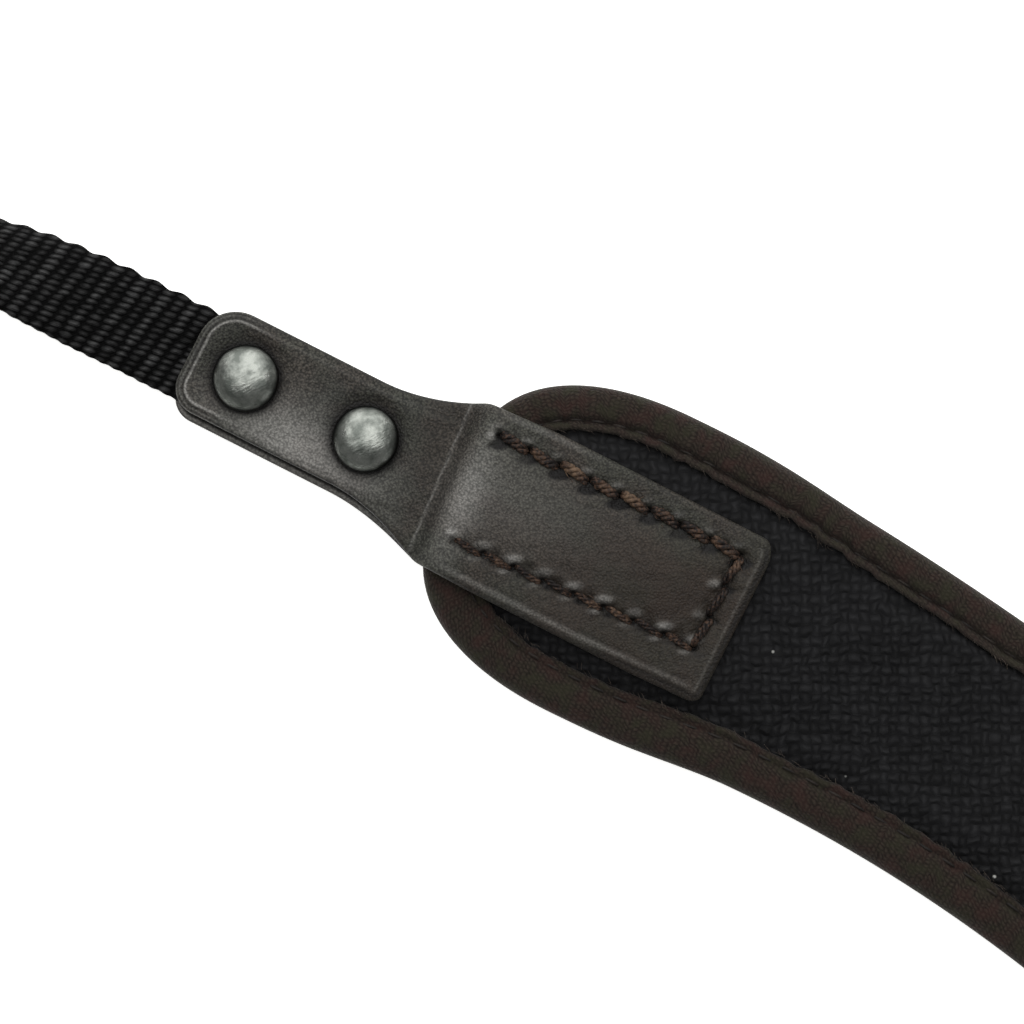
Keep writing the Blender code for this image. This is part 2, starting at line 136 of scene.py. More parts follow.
def gridFaces(rows, columns, closed=False):
    # Quads between neighbouring rows; closed rows join their last point to their first
    steps = columns if closed else columns - 1
    row, column = np.meshgrid(np.arange(rows - 1), np.arange(steps), indexing="ij")
    following = (column + 1) % columns
    faces = np.stack([row * columns + column, (row + 1) * columns + column,
                      (row + 1) * columns + following, row * columns + following], -1)
    return faces.reshape(-1, 4)


def weld(points, faces):
    # Joins points that lie together and drops the faces that this flattens; tells where each point went
    unused, first, places = np.unique(np.round(points, 7), axis=0, return_index=True, return_inverse=True)
    places = places.reshape(-1)
    kept = []
    for face in faces:
        face = places[face].tolist()
        corners = [corner for k, corner in enumerate(face) if corner != face[k - 1]]
        if len(set(corners)) > 2:
            kept.append(corners)
    return points[first], kept, places


def addPiece(name, points, faces, material, replaced=(), marks=None, side=1):
    points = np.array(points, float)
    if side < 0:
        points[:, 0] *= -1
        faces = [face[::-1] for face in faces]
    mesh = bpy.data.meshes.new(name)
    mesh.from_pydata(points.tolist(), [], faces)
    mesh.shade_smooth()
    for markName, values in (marks or {}).items():
        mark = mesh.attributes.new(markName, "FLOAT_VECTOR", "POINT")
        mark.data.foreach_set("vector", np.asarray(values, np.float32).ravel())
    mesh.materials.append(material)
    piece = bpy.data.objects.new(name, mesh)
    bpy.context.collection.objects.link(piece)
    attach(piece, "root")
    if replaced:
        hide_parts(*replaced)
    return piece


def joinParts(parts):
    # One set of points and faces from several
    faces, start = [], 0
    for partPoints, partFaces in parts:
        faces += [[start + corner for corner in face] for face in partFaces]
        start += len(partPoints)
    return np.concatenate([partPoints for partPoints, partFaces in parts]), faces


def tubes(paths, sideways, radii, sides=6):
    # Closed round strands along paths (strand, station, xyz), which never run along their sideways direction
    tangent = np.gradient(paths, axis=1)
    tangent /= np.linalg.norm(tangent, axis=-1, keepdims=True)
    across = sideways[:, None, :] - tangent * (tangent * sideways[:, None, :]).sum(-1, keepdims=True)
    across /= np.linalg.norm(across, axis=-1, keepdims=True)
    over = np.cross(tangent, across)
    turn = (np.arange(sides) / sides * math.tau)[:, None]
    radii = np.broadcast_to(radii, paths.shape[:2])[:, :, None, None]
    points = paths[:, :, None] + radii * (across[:, :, None] * np.cos(turn) + over[:, :, None] * np.sin(turn))
    strands, stations = paths.shape[:2]
    one = gridFaces(stations, sides, closed=True)[:, ::-1]
    size = stations * sides
    faces = (one[None] + (np.arange(strands) * size)[:, None, None]).reshape(-1, 4).tolist()
    for k in range(strands):
        faces.append([k * size + j for j in range(sides)][::-1])
        faces.append([(k + 1) * size - sides + j for j in range(sides)])
    return points.reshape(-1, 3), faces


# Materials

def hexColour(text):
    parts = [int(text[k:k + 2], 16) / 255 for k in (1, 3, 5)]
    return (*[part / 12.92 if part <= 0.04045 else ((part + 0.055) / 1.055) ** 2.4 for part in parts], 1)


def connect(node, sockets):
    # Links what is a node or an output and sets the rest as values
    for name, value in sockets.items():
        if isinstance(value, bpy.types.Node):
            value = next(output for output in value.outputs if output.enabled)
        if isinstance(value, bpy.types.NodeSocket):
            node.id_data.links.new(value, node.inputs[name])
        else:
            node.inputs[name].default_value = value


def addNode(tree, kind, sockets=None, **settings):
    node = tree.nodes.new("ShaderNode" + kind)
    for name, value in settings.items():
        setattr(node, name, value)
    connect(node, sockets or {})
    return node


def newMaterial(name, constants):
    # The material, its addNode and its shader with what is the same all over the surface
    material = bpy.data.materials.new(name)
    material.use_nodes = True
    material.node_tree.nodes.clear()
    add = partial(addNode, material.node_tree)
    shader = add("BsdfPrincipled", constants)
    add("OutputMaterial", {"Surface": shader})
    return material, add, shader


waveCell = 0.314159  # Wave Texture scale that repeats once in each unit
spotReach = 1.1  # a spot ends this far out, as a share of its half size
asColour = {"data_type": "RGBA"}  # settings of a Mix node for colours
times = {"data_type": "RGBA", "blend_type": "MULTIPLY"}


def spots(add, place, size, stagger=0.0, soft=0.25):
    # One rounded spot in each unit square, every row shifted by the stagger
    row = add("VectorMath", {0: place}, operation="FLOOR")
    shift = add("CombineXYZ", {"X": add("VectorMath", {0: row, 1: (0, stagger, 0)}, operation="DOT_PRODUCT")})
    within = add("VectorMath", {0: place, 1: shift}, operation="ADD")
    within = add("VectorMath", {0: within}, operation="FRACTION")
    within = add("VectorMath", {0: within, 1: (0.5, 0.5, 0)}, operation="SUBTRACT")
    within = add("VectorMath", {0: within, 1: (2 / size[0], 2 / size[1], 0)}, operation="MULTIPLY")
    reach = add("VectorMath", {0: within}, operation="LENGTH")
    return add("MapRange", {"Value": reach, "From Min": spotReach, "From Max": soft},
               interpolation_type="SMOOTHSTEP")


canvas = {
    "yarnSpacing": 1.05 * mm,
    "grainAngle": math.radians(68.6),  # the cloth is cut at this angle to the strap's length
    "drift": (1.3, 1.3, 0),  # how far the weave wanders, in yarns
    "jitter": (0.65, 0.65, 0),
    # colour of the painted shade in the gaps between the yarns
    "gap": hexColour("#101011"),
    "yarn": hexColour("#202021"),
    "lint": hexColour("#b5b5b0"),
    "lintSpacing": 5.5 * mm,
    "relief": 0.13 * mm,
}


def makeCanvas():
    # Black polyester canvas, plain woven: matt, with small square floats, uneven yarns and a little pale lint
    material, add, shader = newMaterial("wovenPolyesterCanvas", {
        "Roughness": 0.85, "IOR": 1.5, "Specular IOR Level": 0.15})
    place = add("TexCoord").outputs["Object"]
    perYarn = 1 / canvas["yarnSpacing"]
    cell = add("Mapping", {
        "Vector": place, "Rotation": (0, 0, -canvas["grainAngle"]), "Scale": (perYarn, perYarn, 0)})
    drift = add("TexNoise", {"Vector": cell, "Scale": 0.22, "Detail": 2.0}).outputs["Color"]
    cell = add("VectorMath", {0: drift, 1: canvas["drift"], 2: cell}, operation="MULTIPLY_ADD")
    jitter = add("TexNoise", {"Vector": cell, "Scale": 0.9, "Detail": 1.0}).outputs["Color"]
    cell = add("VectorMath", {0: jitter, 1: canvas["jitter"], 2: cell}, operation="MULTIPLY_ADD")
    warp, weft = (add("TexWave", {"Vector": cell, "Scale": waveCell}, bands_direction=way).outputs["Fac"]
                  for way in "XY")
    over = add("TexChecker", {"Vector": cell, "Scale": 1.0}).outputs["Fac"]
    yarns = add("Mix", {0: over, 2: warp, 3: weft})
    arch = add("Math", {0: warp, 1: weft}, operation="MULTIPLY")
    relief = add("Math", {0: arch, 1: 0.9, 2: yarns}, operation="MULTIPLY_ADD")
    fibres = add("TexNoise", {"Vector": cell, "Scale": 5.0, "Detail": 3.0})
    height = add("Math", {0: fibres, 1: 0.5, 2: relief}, operation="MULTIPLY_ADD")
    # painted shade: the gaps between the yarns are painted darker than the yarn tops
    shade = add("Math", {0: relief, 1: 0.55}, operation="MULTIPLY", use_clamp=True)
    colour = add("Mix", {0: shade, 6: canvas["gap"], 7: canvas["yarn"]}, **asColour)
    chance = add("TexWhiteNoise", {"Vector": add("VectorMath", {0: cell}, operation="FLOOR")})
    uneven = add("MapRange", {"Value": chance, "To Min": 0.7, "To Max": 1.2})
    colour = add("Mix", {0: 1.0, 6: colour, 7: uneven}, **times)
    lint = add("TexVoronoi", {"Vector": place, "Scale": 1 / canvas["lintSpacing"]})
    speck = add("MapRange", {
        "Value": lint, "From Min": 0.018, "From Max": 0.042, "To Min": 0.8, "To Max": 0.0})
    connect(shader, {
        "Base Color": add("Mix", {0: speck, 6: colour, 7: canvas["lint"]}, **asColour),
        "Normal": add("Bump", {"Height": height, "Distance": canvas["relief"], "Strength": 0.9})})
    return material


tapeLook = {
    "ribSpacing": 0.38 * mm,
    "ribAngle": math.radians(27),  # the twill's slant to the tape's length
    "float": 1.7,  # length of a float, in ribs
    "crooked": (2.6, 1.9, 0),  # how far the ribs wander, in ribs
    # colour of the painted shade between the ribs and in the sunk seam
    "groove": hexColour("#150f0d"),
    "rib": hexColour("#38312a"),
    "redder": hexColour("#382421"),
    "greener": hexColour("#2c2c20"),
    "highlitLip": hexColour("#3f3834"),
    "relief": 0.10 * mm,
}


def makeTape():
    # Cotton twill tape dyed dark brown: matt, short slanted floats, a soft fibre bloom, painted shade between
    # the ribs and in the sunk seam, and a paler lip that is a painted highlight
    material, add, shader = newMaterial("dyedCottonTwill", {
        "Roughness": 0.85, "IOR": 1.5, "Specular IOR Level": 0.12,
        "Sheen Weight": 0.05, "Sheen Roughness": 0.5})
    place = add("Attribute", attribute_name="tapePlaceAndPaintedLight").outputs["Vector"]
    tone = add("SeparateXYZ", {0: place}).outputs["Z"]  # above 0 where a highlight is painted on the lip and the fold, below it where shade is painted in the sunk seam
    perRib = 1 / tapeLook["ribSpacing"]
    flat = add("Mapping", {"Vector": place, "Scale": (perRib, perRib, 0)})
    slanted = add("Mapping", {"Vector": flat, "Rotation": (0, 0, tapeLook["ribAngle"])})
    crooked = add("TexNoise", {"Vector": flat, "Scale": 0.35, "Detail": 3.0}).outputs["Color"]
    slanted = add("VectorMath", {0: crooked, 1: tapeLook["crooked"], 2: slanted}, operation="MULTIPLY_ADD")
    stretched = add("VectorMath", {0: slanted, 1: (1 / tapeLook["float"], 1, 0)}, operation="MULTIPLY")
    floats = add("Math", {0: spots(add, stretched, (1.0, 0.95), 0.36), 1: 0.6}, operation="MULTIPLY")
    fibres = add("TexNoise", {"Vector": stretched, "Scale": 1.5, "Detail": 4.0, "Roughness": 0.7})
    height = add("Math", {0: fibres, 1: 1.8, 2: floats}, operation="MULTIPLY_ADD")
    # painted shade: the valleys between the ribs are painted darker than the rib tops
    shade = add("MapRange", {"Value": height, "From Min": 0.62, "From Max": 1.75})
    colour = add("Mix", {0: shade, 6: tapeLook["groove"], 7: tapeLook["rib"]}, **asColour)
    patches = add("TexNoise", {"Vector": flat, "Scale": 0.16, "Detail": 4.0})
    for other, until, most in (("redder", 0.66, 0.48), ("greener", 0.36, 0.6)):
        share = add("MapRange", {"Value": patches, "From Min": 0.5, "From Max": until, "To Max": most})
        colour = add("Mix", {0: share, 6: colour, 7: tapeLook[other]}, **asColour)
    # painted highlight on the lip and the fold's crest, broken up by the fibres
    worn = add("Math", {0: tone, 1: fibres}, operation="MULTIPLY", use_clamp=True)
    colour = add("Mix", {0: worn, 6: colour, 7: tapeLook["highlitLip"]}, **asColour)
    # painted shade in the sunk seam
    sunk = add("MapRange", {"Value": tone, "From Min": 0.0, "From Max": -1.0, "To Max": 0.85})
    connect(shader, {
        "Base Color": add("Mix", {0: sunk, 6: colour, 7: tapeLook["groove"]}, **asColour),
        "Normal": add("Bump", {"Height": height, "Distance": tapeLook["relief"], "Strength": 0.85})})
    return material


hide = {
    "pebble": 0.26 * mm,
    "pore": 0.23 * mm,
    "creasing": 5 * mm,
    "stain": 6 * mm,
    "tongue": hexColour("#3f3f3b"),
    "patch": hexColour("#2a241e"),
    "olive": hexColour("#f8faf0"),  # faint stains multiplied into the colour
    "russet": hexColour("#fff1ea"),
    # pale grey of the painted sheen and of the wear on edges and ridges
    "worn": hexColour("#9a9894"),
    # near-black of the painted shade
    "paintedShade": hexColour("#0c0a09"),
    "relief": 0.07 * mm,
}


def makeLeather():
    # Full-grain cowhide, drum-dyed dark brown and waxed: fine crisp pebbles, a soft sheen, grey edges and
    # ridges of painted sheen and wear, and painted shade in its dents and pressed lines
    material, add, shader = newMaterial("waxedFullGrainLeather", {"IOR": 1.47, "Specular IOR Level": 0.25})
    place = add("TexCoord").outputs["Object"]
    marks = add("SeparateXYZ", {0: add("Attribute", attribute_name="leatherMarks").outputs["Vector"]})
    paintedSheenAndWear, paintedShade, patch = marks.outputs
    pebbles = add("TexVoronoi", {"Vector": place, "Scale": 1 / hide["pebble"], "Smoothness": 0.35},
                  feature="SMOOTH_F1")
    pores = add("TexNoise", {"Vector": place, "Scale": 1 / hide["pore"], "Detail": 2.0, "Roughness": 0.6})
    creasing = add("TexNoise", {
        "Vector": place, "Scale": 1 / hide["creasing"], "Detail": 4.0, "Roughness": 0.55})
    valleys = add("Math", {0: pebbles, 1: -1.0}, operation="MULTIPLY")
    grain = add("Math", {0: pores, 1: 1.5, 2: valleys}, operation="MULTIPLY_ADD")
    height = add("Math", {0: creasing, 1: 1.0, 2: grain}, operation="MULTIPLY_ADD")
    # the patch's darker, warmer brown, which also stands in for painted shade towards its lower right
    colour = add("Mix", {0: patch, 6: hide["tongue"], 7: hide["patch"]}, **asColour)
    tone, polish = (
        add("MapRange", {"Value": creasing, "From Min": 0.3, "From Max": 0.7, "To Min": low, "To Max": high})
        for low, high in ((0.85, 1.15), (0.46, 0.6)))
    colour = add("Mix", {0: 1.0, 6: colour, 7: tone}, **times)
    stains = add("TexNoise", {"Vector": place, "Scale": 1 / hide["stain"], "Detail": 3.0})
    toRusset = add("MapRange", {"Value": stains, "From Min": 0.42, "From Max": 0.58})
    stain = add("Mix", {0: toRusset, 6: hide["olive"], 7: hide["russet"]}, **asColour)
    colour = add("Mix", {0: 1.0, 6: colour, 7: stain}, **times)
    fine = add("MapRange", {"Value": grain, "From Min": 0.0, "From Max": 0.75, "To Min": 0.3, "To Max": 1.66})
    calm = add("Math", {0: patch, 1: 0.6}, operation="MULTIPLY", use_clamp=True)
    colour = add("Mix", {0: 1.0, 6: colour, 7: add("Mix", {0: calm, 2: fine, 3: 1.0})}, **times)
    softer = add("Math", {0: fine, 1: 0.6, 2: 0.4}, operation="MULTIPLY_ADD")
    # painted sheen and wear, broken up by the grain
    worn = add("Math", {0: paintedSheenAndWear, 1: softer}, operation="MULTIPLY", use_clamp=True)
    colour = add("Mix", {0: worn, 6: colour, 7: hide["worn"]}, **asColour)
    connect(shader, {
        # painted shade in dents, holes, pressed lines and beside raised parts
        "Base Color": add("Mix", {0: paintedShade, 6: colour, 7: hide["paintedShade"]}, **asColour),
        "Roughness": polish,
        "Normal": add("Bump", {"Height": height, "Distance": hide["relief"], "Strength": 1.0})})
    return material


threadLook = {  # dark, light and worn colour
    "waxedLinenThread": ("#110b09", "#5b4435", "#756651"),
    "darkPolyesterThread": ("#171310", "#2a231e", "#2a231e"),
    "looseCottonFibre": ("#2a231e", "#564d45", "#564d45"),
}
threadFibres = {"fine": 0.3 * mm, "patches": 3 * mm, "relief": 0.04 * mm}


def makeThread(name):
    # Spun thread, waxed linen in the leather: dull, with lighter fibres where it is rubbed
    material, add, shader = newMaterial(name, {"Roughness": 0.7, "IOR": 1.5, "Specular IOR Level": 0.3})
    dark, light, worn = (hexColour(text) for text in threadLook[name])
    place = add("TexCoord").outputs["Object"]
    fibres = add("TexNoise", {"Vector": place, "Scale": 1 / threadFibres["fine"], "Detail": 3.0})
    patches = add("TexNoise", {"Vector": place, "Scale": 1 / threadFibres["patches"], "Detail": 2.0})
    both = add("Math", {0: fibres, 1: patches}, operation="ADD")
    share = add("MapRange", {"Value": both, "From Min": 0.9, "From Max": 1.3})
    faded = add("MapRange", {"Value": patches, "From Min": 0.52, "From Max": 0.68, "To Max": 0.3})
    colour = add("Mix", {0: faded, 6: light, 7: worn}, **asColour)
    connect(shader, {
        "Base Color": add("Mix", {0: share, 6: dark, 7: colour}, **asColour),
        "Normal": add("Bump", {"Height": fibres, "Distance": threadFibres["relief"], "Strength": 0.7})})
    return material


nickelLook = {
    "bright": hexColour("#979a94"),
    "tarnished": hexColour("#666a65"),
    "rim": hexColour("#1a1c1b"),
    "clouds": 1.5 * mm,
    "rubAngle": math.radians(99),  # fine slanted rub marks
    "rubSize": (0.7 * mm, 0.24 * mm, 0.24 * mm),
    "relief": 0.06 * mm,
}


def makeNickel():
    # Antiqued nickel plate on pressed steel, tumbled: soft mottled highlight, black left in the rim
    material, add, shader = newMaterial("antiquedNickelPlate", {"Metallic": 1.0})
    place = add("TexCoord").outputs["Object"]
    rim = add("SeparateXYZ", {0: add("Attribute", attribute_name="rivetDark").outputs["Vector"]})
    clouds = add("TexNoise", {
        "Vector": place, "Scale": 1 / nickelLook["clouds"], "Detail": 5.0, "Roughness": 0.6})
    rubs = add("Mapping", {
        "Vector": place, "Rotation": (0, 0, nickelLook["rubAngle"]), "Scale": nickelLook["rubSize"]},
        vector_type="TEXTURE")
    tumbled = add("TexNoise", {"Vector": rubs, "Scale": 1.0, "Detail": 3.0, "Roughness": 0.55})
    tarnish = add("MapRange", {"Value": clouds, "From Min": 0.38, "From Max": 0.62})
    colour = add("Mix", {0: tarnish, 6: nickelLook["tarnished"], 7: nickelLook["bright"]}, **asColour)
    connect(shader, {
        "Base Color": add("Mix", {0: rim, 6: colour, 7: nickelLook["rim"]}, **asColour),
        "Roughness": add("MapRange", {
            "Value": clouds, "From Min": 0.3, "From Max": 0.7, "To Min": 0.42, "To Max": 0.25}),
        "Normal": add("Bump", {"Height": tumbled, "Distance": nickelLook["relief"], "Strength": 0.8})})
    return material


webLook = {
    "pick": 1.5 * mm,
    "wale": 0.72 * mm,
    "slant": 0.3,  # how far the floats move across from one pick to the next, in wales
    "lean": 0.21,  # how far a pick leans away from square across
    "spot": (1.2, 1.12),  # size of a float in wales and picks
    "dimmer": 0.6,  # height of every second pick
    "wander": (0.5, 0.36, 0),  # unevenness of the floats' places, in wales and picks
    # colour of the painted shade in the gaps between the floats
    "gap": hexColour("#040404"),
    "float": hexColour("#464646"),
    "relief": 0.3 * mm,
}


def makeWebbing():
    # Black polypropylene webbing, tubular weave: slanted oval floats with a dull filament sheen, and painted
    # shade that keeps the gaps between them black
    material, add, shader = newMaterial("wovenPolypropyleneWebbing", {
        "Roughness": 0.6, "IOR": 1.49, "Specular IOR Level": 0.04})
    marks = add("Attribute", attribute_name="webPlace").outputs["Vector"]
    wale = add("VectorMath", {0: marks, 1: (1, 1, 0)}, operation="MULTIPLY")
    uneven = add("TexNoise", {"Vector": wale, "Scale": 0.8, "Detail": 1.0}).outputs["Color"]
    shifted = add("VectorMath", {0: uneven, 1: webLook["wander"], 2: wale}, operation="MULTIPLY_ADD")
    halfWander = tuple(part / 2 for part in webLook["wander"])
    shifted = add("VectorMath", {0: shifted, 1: halfWander}, operation="SUBTRACT")
    floats = spots(add, shifted, webLook["spot"], soft=0.0)
    pairs = add("Math", {0: add("SeparateXYZ", {0: marks}).outputs["Y"], 1: 0.5}, operation="MULTIPLY")
    second = add("Math", {0: add("Math", {0: pairs}, operation="FRACT"), 1: 0.5}, operation="GREATER_THAN")
    strength = add("MapRange", {"Value": second, "To Min": 1.0, "To Max": webLook["dimmer"]})
    raised = add("Math", {0: floats, 1: strength}, operation="MULTIPLY")
    filaments = add("TexWave", {"Vector": wale, "Scale": waveCell * 4, "Distortion": 0.8, "Detail": 1.0})
    height = add("Math", {0: filaments.outputs["Fac"], 1: 0.10, 2: raised}, operation="MULTIPLY_ADD")
    chance = add("TexWhiteNoise", {"Vector": add("VectorMath", {0: shifted}, operation="FLOOR")})
    seen = add("MapRange", {"Value": chance, "To Min": 0.6, "To Max": 1.2})
    fibres = add("TexNoise", {"Vector": wale, "Scale": 2.5, "Detail": 3.0})
    # painted shade: floats painted lighter than the gaps by their height, each float's brightness varied at
    # random
    shade = raised
    for factor in (seen, fibres):
        shade = add("Math", {0: shade, 1: factor}, operation="MULTIPLY")
    shade = add("MapRange", {"Value": shade, "From Min": 0.05, "From Max": 0.6})
    connect(shader, {
        "Base Color": add("Mix", {0: shade, 6: webLook["gap"], 7: webLook["float"]}, **asColour),
        "Normal": add("Bump", {"Height": height, "Distance": webLook["relief"], "Strength": 0.9})})
    return material


acetalLook = {
    "texture": 0.25 * mm,
    "handling": 3 * mm,
    "moulded": hexColour("#121213"),
    "scuffed": hexColour("#1f1f20"),
    "relief": 0.03 * mm,
}


def makeAcetal():
    # Black acetal, injection moulded in a spark-eroded tool: satin, a fine even texture and a few scuffs
    material, add, shader = newMaterial("mouldedAcetal", {"IOR": 1.48, "Specular IOR Level": 0.4})
    place = add("TexCoord").outputs["Object"]
    texture = add("TexNoise", {"Vector": place, "Scale": 1 / acetalLook["texture"], "Detail": 3.0})
    handling = add("TexNoise", {"Vector": place, "Scale": 1 / acetalLook["handling"], "Detail": 4.0})
    connect(shader, {
        "Base Color": add("Mix", {
            0: handling, 6: acetalLook["moulded"], 7: acetalLook["scuffed"]}, **asColour),
        "Roughness": add("MapRange", {
            "Value": handling, "From Min": 0.3, "From Max": 0.7, "To Min": 0.36, "To Max": 0.52}),
        "Normal": add("Bump", {"Height": texture, "Distance": acetalLook["relief"], "Strength": 0.6})})
    return material


canvasCloth, twillTape, leather, nickel = makeCanvas(), makeTape(), makeLeather(), makeNickel()
linenThread, bindingThread, tapeFibre = (makeThread(name) for name in threadLook)
ribbedWebbing, acetal = makeWebbing(), makeAcetal()
print("materials made")


# Pad and binding

def padHalfWidth(along):
    fromEnd = along - strapLine["padEnd"]
    lobe = np.clip(1 - fromEnd / padSizes["lobeLength"], 0, 1)
    taper = np.clip((fromEnd - padSizes["lobeLength"]) / padSizes["taperLength"], 0, 1)
    narrowed = (padSizes["lobeWidth"] - padSizes["waistWidth"]) / 2
    tipPower, sidePower = padSizes["lobePowers"]
    width = padSizes["lobeWidth"] / 2 * (1 - lobe ** tipPower) ** (1 / sidePower)
    return width - narrowed * (1 - (1 - taper) ** 2) * ease(3 * taper)


def settled(along):
    return fade(along, leatherSizes["patchEnd"], padSizes["settle"])


def padMid(along):
    return padSizes["midAtTab"] + (padSizes["midFree"] - padSizes["midAtTab"]) * settled(along)


def padEdge(step):
    # Closed loop round the bound pad: neck side from the middle to the left tip, outer side across, and back
    padEnd, padMiddle = strapLine["padEnd"], strapLine["padMiddle"]
    along = padEnd + (padMiddle - padEnd) * np.linspace(0, 1, 6000) ** 3  # closest at the lobe's tip
    half = padHalfWidth(along)
    run = np.r_[0, np.cumsum(np.hypot(np.diff(along), np.diff(half)))]
    even = np.linspace(0, run[-1], round(run[-1] / step) + 1)
    along, half = np.interp(even, run, along), np.interp(even, run, half)
    low = padSizes["spineIn"] + padSizes["spineLean"] * even
    high = along - padEnd - padSizes["spineBack"]
    spine = padEnd + (low + high + np.sqrt((low - high) ** 2 + padSizes["spineRound"] ** 2)) / 2
    spine = np.minimum(spine, padMiddle)
    spine[-1] = padMiddle

    def around(neckSide, outerSide):
        left = np.concatenate([neckSide[::-1], outerSide[1:]])
        return np.concatenate([left, left[-2:0:-1]])

    def loop(along, half):
        left = strapPoint(np.r_[along[::-1], along[1:]], np.r_[half[::-1], -half[1:]])[:, :2]
        return np.concatenate([left, left[-2:0:-1] * (-1, 1)])

    points = loop(along, half)
    edge = np.roll(points, -1, 0) - np.roll(points, 1, 0)
    inward = np.stack([edge[:, 1], -edge[:, 0]], -1)
    inward /= np.linalg.norm(inward, axis=1, keepdims=True)
    lean = np.clip(half / (padSizes["lobeWidth"] / 5), -1, 1)
    steps = np.linalg.norm(np.roll(points, -1, 0) - points, axis=1)
    return {"point": points, "inward": inward, "spine": loop(spine, 0 * spine), "along": around(along, along),
            "lean": around(lean, -lean), "run": np.r_[0, np.cumsum(steps)[:-1]], "length": steps.sum()}


def readEdge(edge, places):
    # Point, inward direction, place along and lean of the loop, read at runs along it
    run, places = np.r_[edge["run"], edge["length"]], places % edge["length"]
    values = np.column_stack([edge["point"], edge["inward"], edge["along"], edge["lean"]])
    read = np.stack([np.interp(places, run, column) for column in np.r_[values, values[:1]].T], -1)
    return read[..., :2], read[..., 2:4], read[..., 4], read[..., 5]


bindingSizes = {
    "coverOuter": 4.35 * mm,
    "coverNeck": 5.1 * mm,
    "unevenCover": ((0.14, 22, 31), (0.11, 3.2, 32), (0.05, 1.3, 36)),  # mm, size of the waves in mm, seed
    "step": 0.85 * mm,  # spacing of the mesh along the tape
    "stitchPitch": 2.7 * mm,
    "stitchStart": 0.18,  # share of the pitch
    "stitchLength": 0.72,  # the same
    "seamIn": 1.0 * mm,  # stitch line, from the tape's inner edge
    "groove": 0.5 * mm,
    "threadRadius": 0.16 * mm,
    "threadHeight": 1.93 * mm,
    "threadSunk": 0.378 * mm,  # in the groove
    "threadArch": 0.10 * mm,
    "threadDive": 0.35 * mm,  # at a stitch's ends
    "joinLength": 9 * mm,
    "joinStep": 0.16 * mm,
    "swell": 0.3 * mm,  # how far the fold bulges past the pad's outline
    "foldHeight": 2.12 * mm,
    "foldPowers": (3.4, 0.42),
    # rows from the inner edge: mm from the stitch line, height in mm, share of the groove, tone (a painted
    # highlight above 0, painted shade below), painted shade on the neck side
    "lipRows": (
        (0.98, 1.35, 0, 0.1, 0.8), (1, 1.55, 0, 0.4, 0.7), (0.9, 1.8, 0, 0.8, 0.55),
        (0.72, 1.96, 0, 0.65, 0.35), (0.5, 2.0, 0, 0.25, 0.2), (0.3, 1.94, 0.3, 0, 0.1),
        (0.13, 1.95, 0.8, -0.4, 0), (0, 1.93, 1, -0.9, 0), (-0.16, 1.95, 0.8, -0.5, 0),
        (-0.38, 2.02, 0.25, -0.1, 0), (-0.65, 2.1, 0, 0, 0),
    ),
    "foldRows": (  # share of the way to the fold's middle, tone of the highlight painted on the fold's crest
        (0.15, 0), (0.3, 0), (0.45, 0), (0.6, 0), (0.72, 0), (0.82, 0), (0.9, 0.1), (0.96, 0.2), (1, 0.3),
    ),
    "inside": ((1.6, 1.3), (0.8, 0.55)),  # inner face of the fold: mm in, height in mm
    "fibres": 1500,
    "fibreLength": (0.3 * mm, 0.95 * mm),
    "fibreRadius": 0.032 * mm,
    "fibreRoots": (0.1 * mm, 0.35 * mm),  # how far past the tape's edge the first one starts, and the spread
    "fibreSlant": math.radians(24),
    "slantSpread": 0.28,
    "fibreBend": 0.25,
    "fibreHeight": 1.98 * mm,
    "fibreDroop": 0.22 * mm,
    "fibreSway": 0.12 * mm,
}


def tapeCover(lean):
    middle = (bindingSizes["coverNeck"] + bindingSizes["coverOuter"]) / 2
    return middle + (bindingSizes["coverNeck"] - bindingSizes["coverOuter"]) / 2 * lean


def padRing(edge, ring):
    # Places and half thickness of a ring: 0 at the pad's own edge, 1 under the tape's edge, 2 at the
    # shoulder, 3 at the spine
    cover, edgeIn, shoulderIn = tapeCover(edge["lean"]), padSizes["edgeIn"], padSizes["shoulderIn"]
    inside = min(max(ring - 1, 0), 1)
    inset = edgeIn + (cover - edgeIn) * ring if ring < 1 else cover + (shoulderIn - cover) * inside
    flat = edge["point"] + edge["inward"] * inset[:, None]
    if ring > 2:
        flat = flat + (edge["spine"] - flat) * (ring - 2)
    full = padSizes["pressedHalf"] + (padSizes["freeHalf"] - padSizes["pressedHalf"]) * settled(edge["along"])
    atEdge = padSizes["edgeHalf"] * (0.4 + 0.6 * min(ring / 0.4, 1))
    return flat, atEdge + (full - atEdge) * (1 - (1 - inside) ** padSizes["crown"])


def bothFaces(rings):
    # From the spine of the lower face over the edge to the spine of the upper one
    return [(-1, ring) for ring in rings[::-1]] + [(1, ring) for ring in rings]


def cubicAt(values, places, cyclic=False):
    # A smooth curve through values at 0, 1, 2 and so on, read at other places
    last = len(values) - 1
    start = np.floor(places).astype(int)
    start = start if cyclic else np.clip(start, 0, last - 1)
    share = (places - start).reshape(-1, *[1] * (values.ndim - 1))
    a, b, c, d = (values[(start + k) % len(values) if cyclic else np.clip(start + k, 0, last)]
                  for k in (-1, 0, 1, 2))
    return b + 0.5 * share * (c - a + share * (2 * a - 5 * b + 4 * c - d + share * (3 * (b - c) + d - a)))


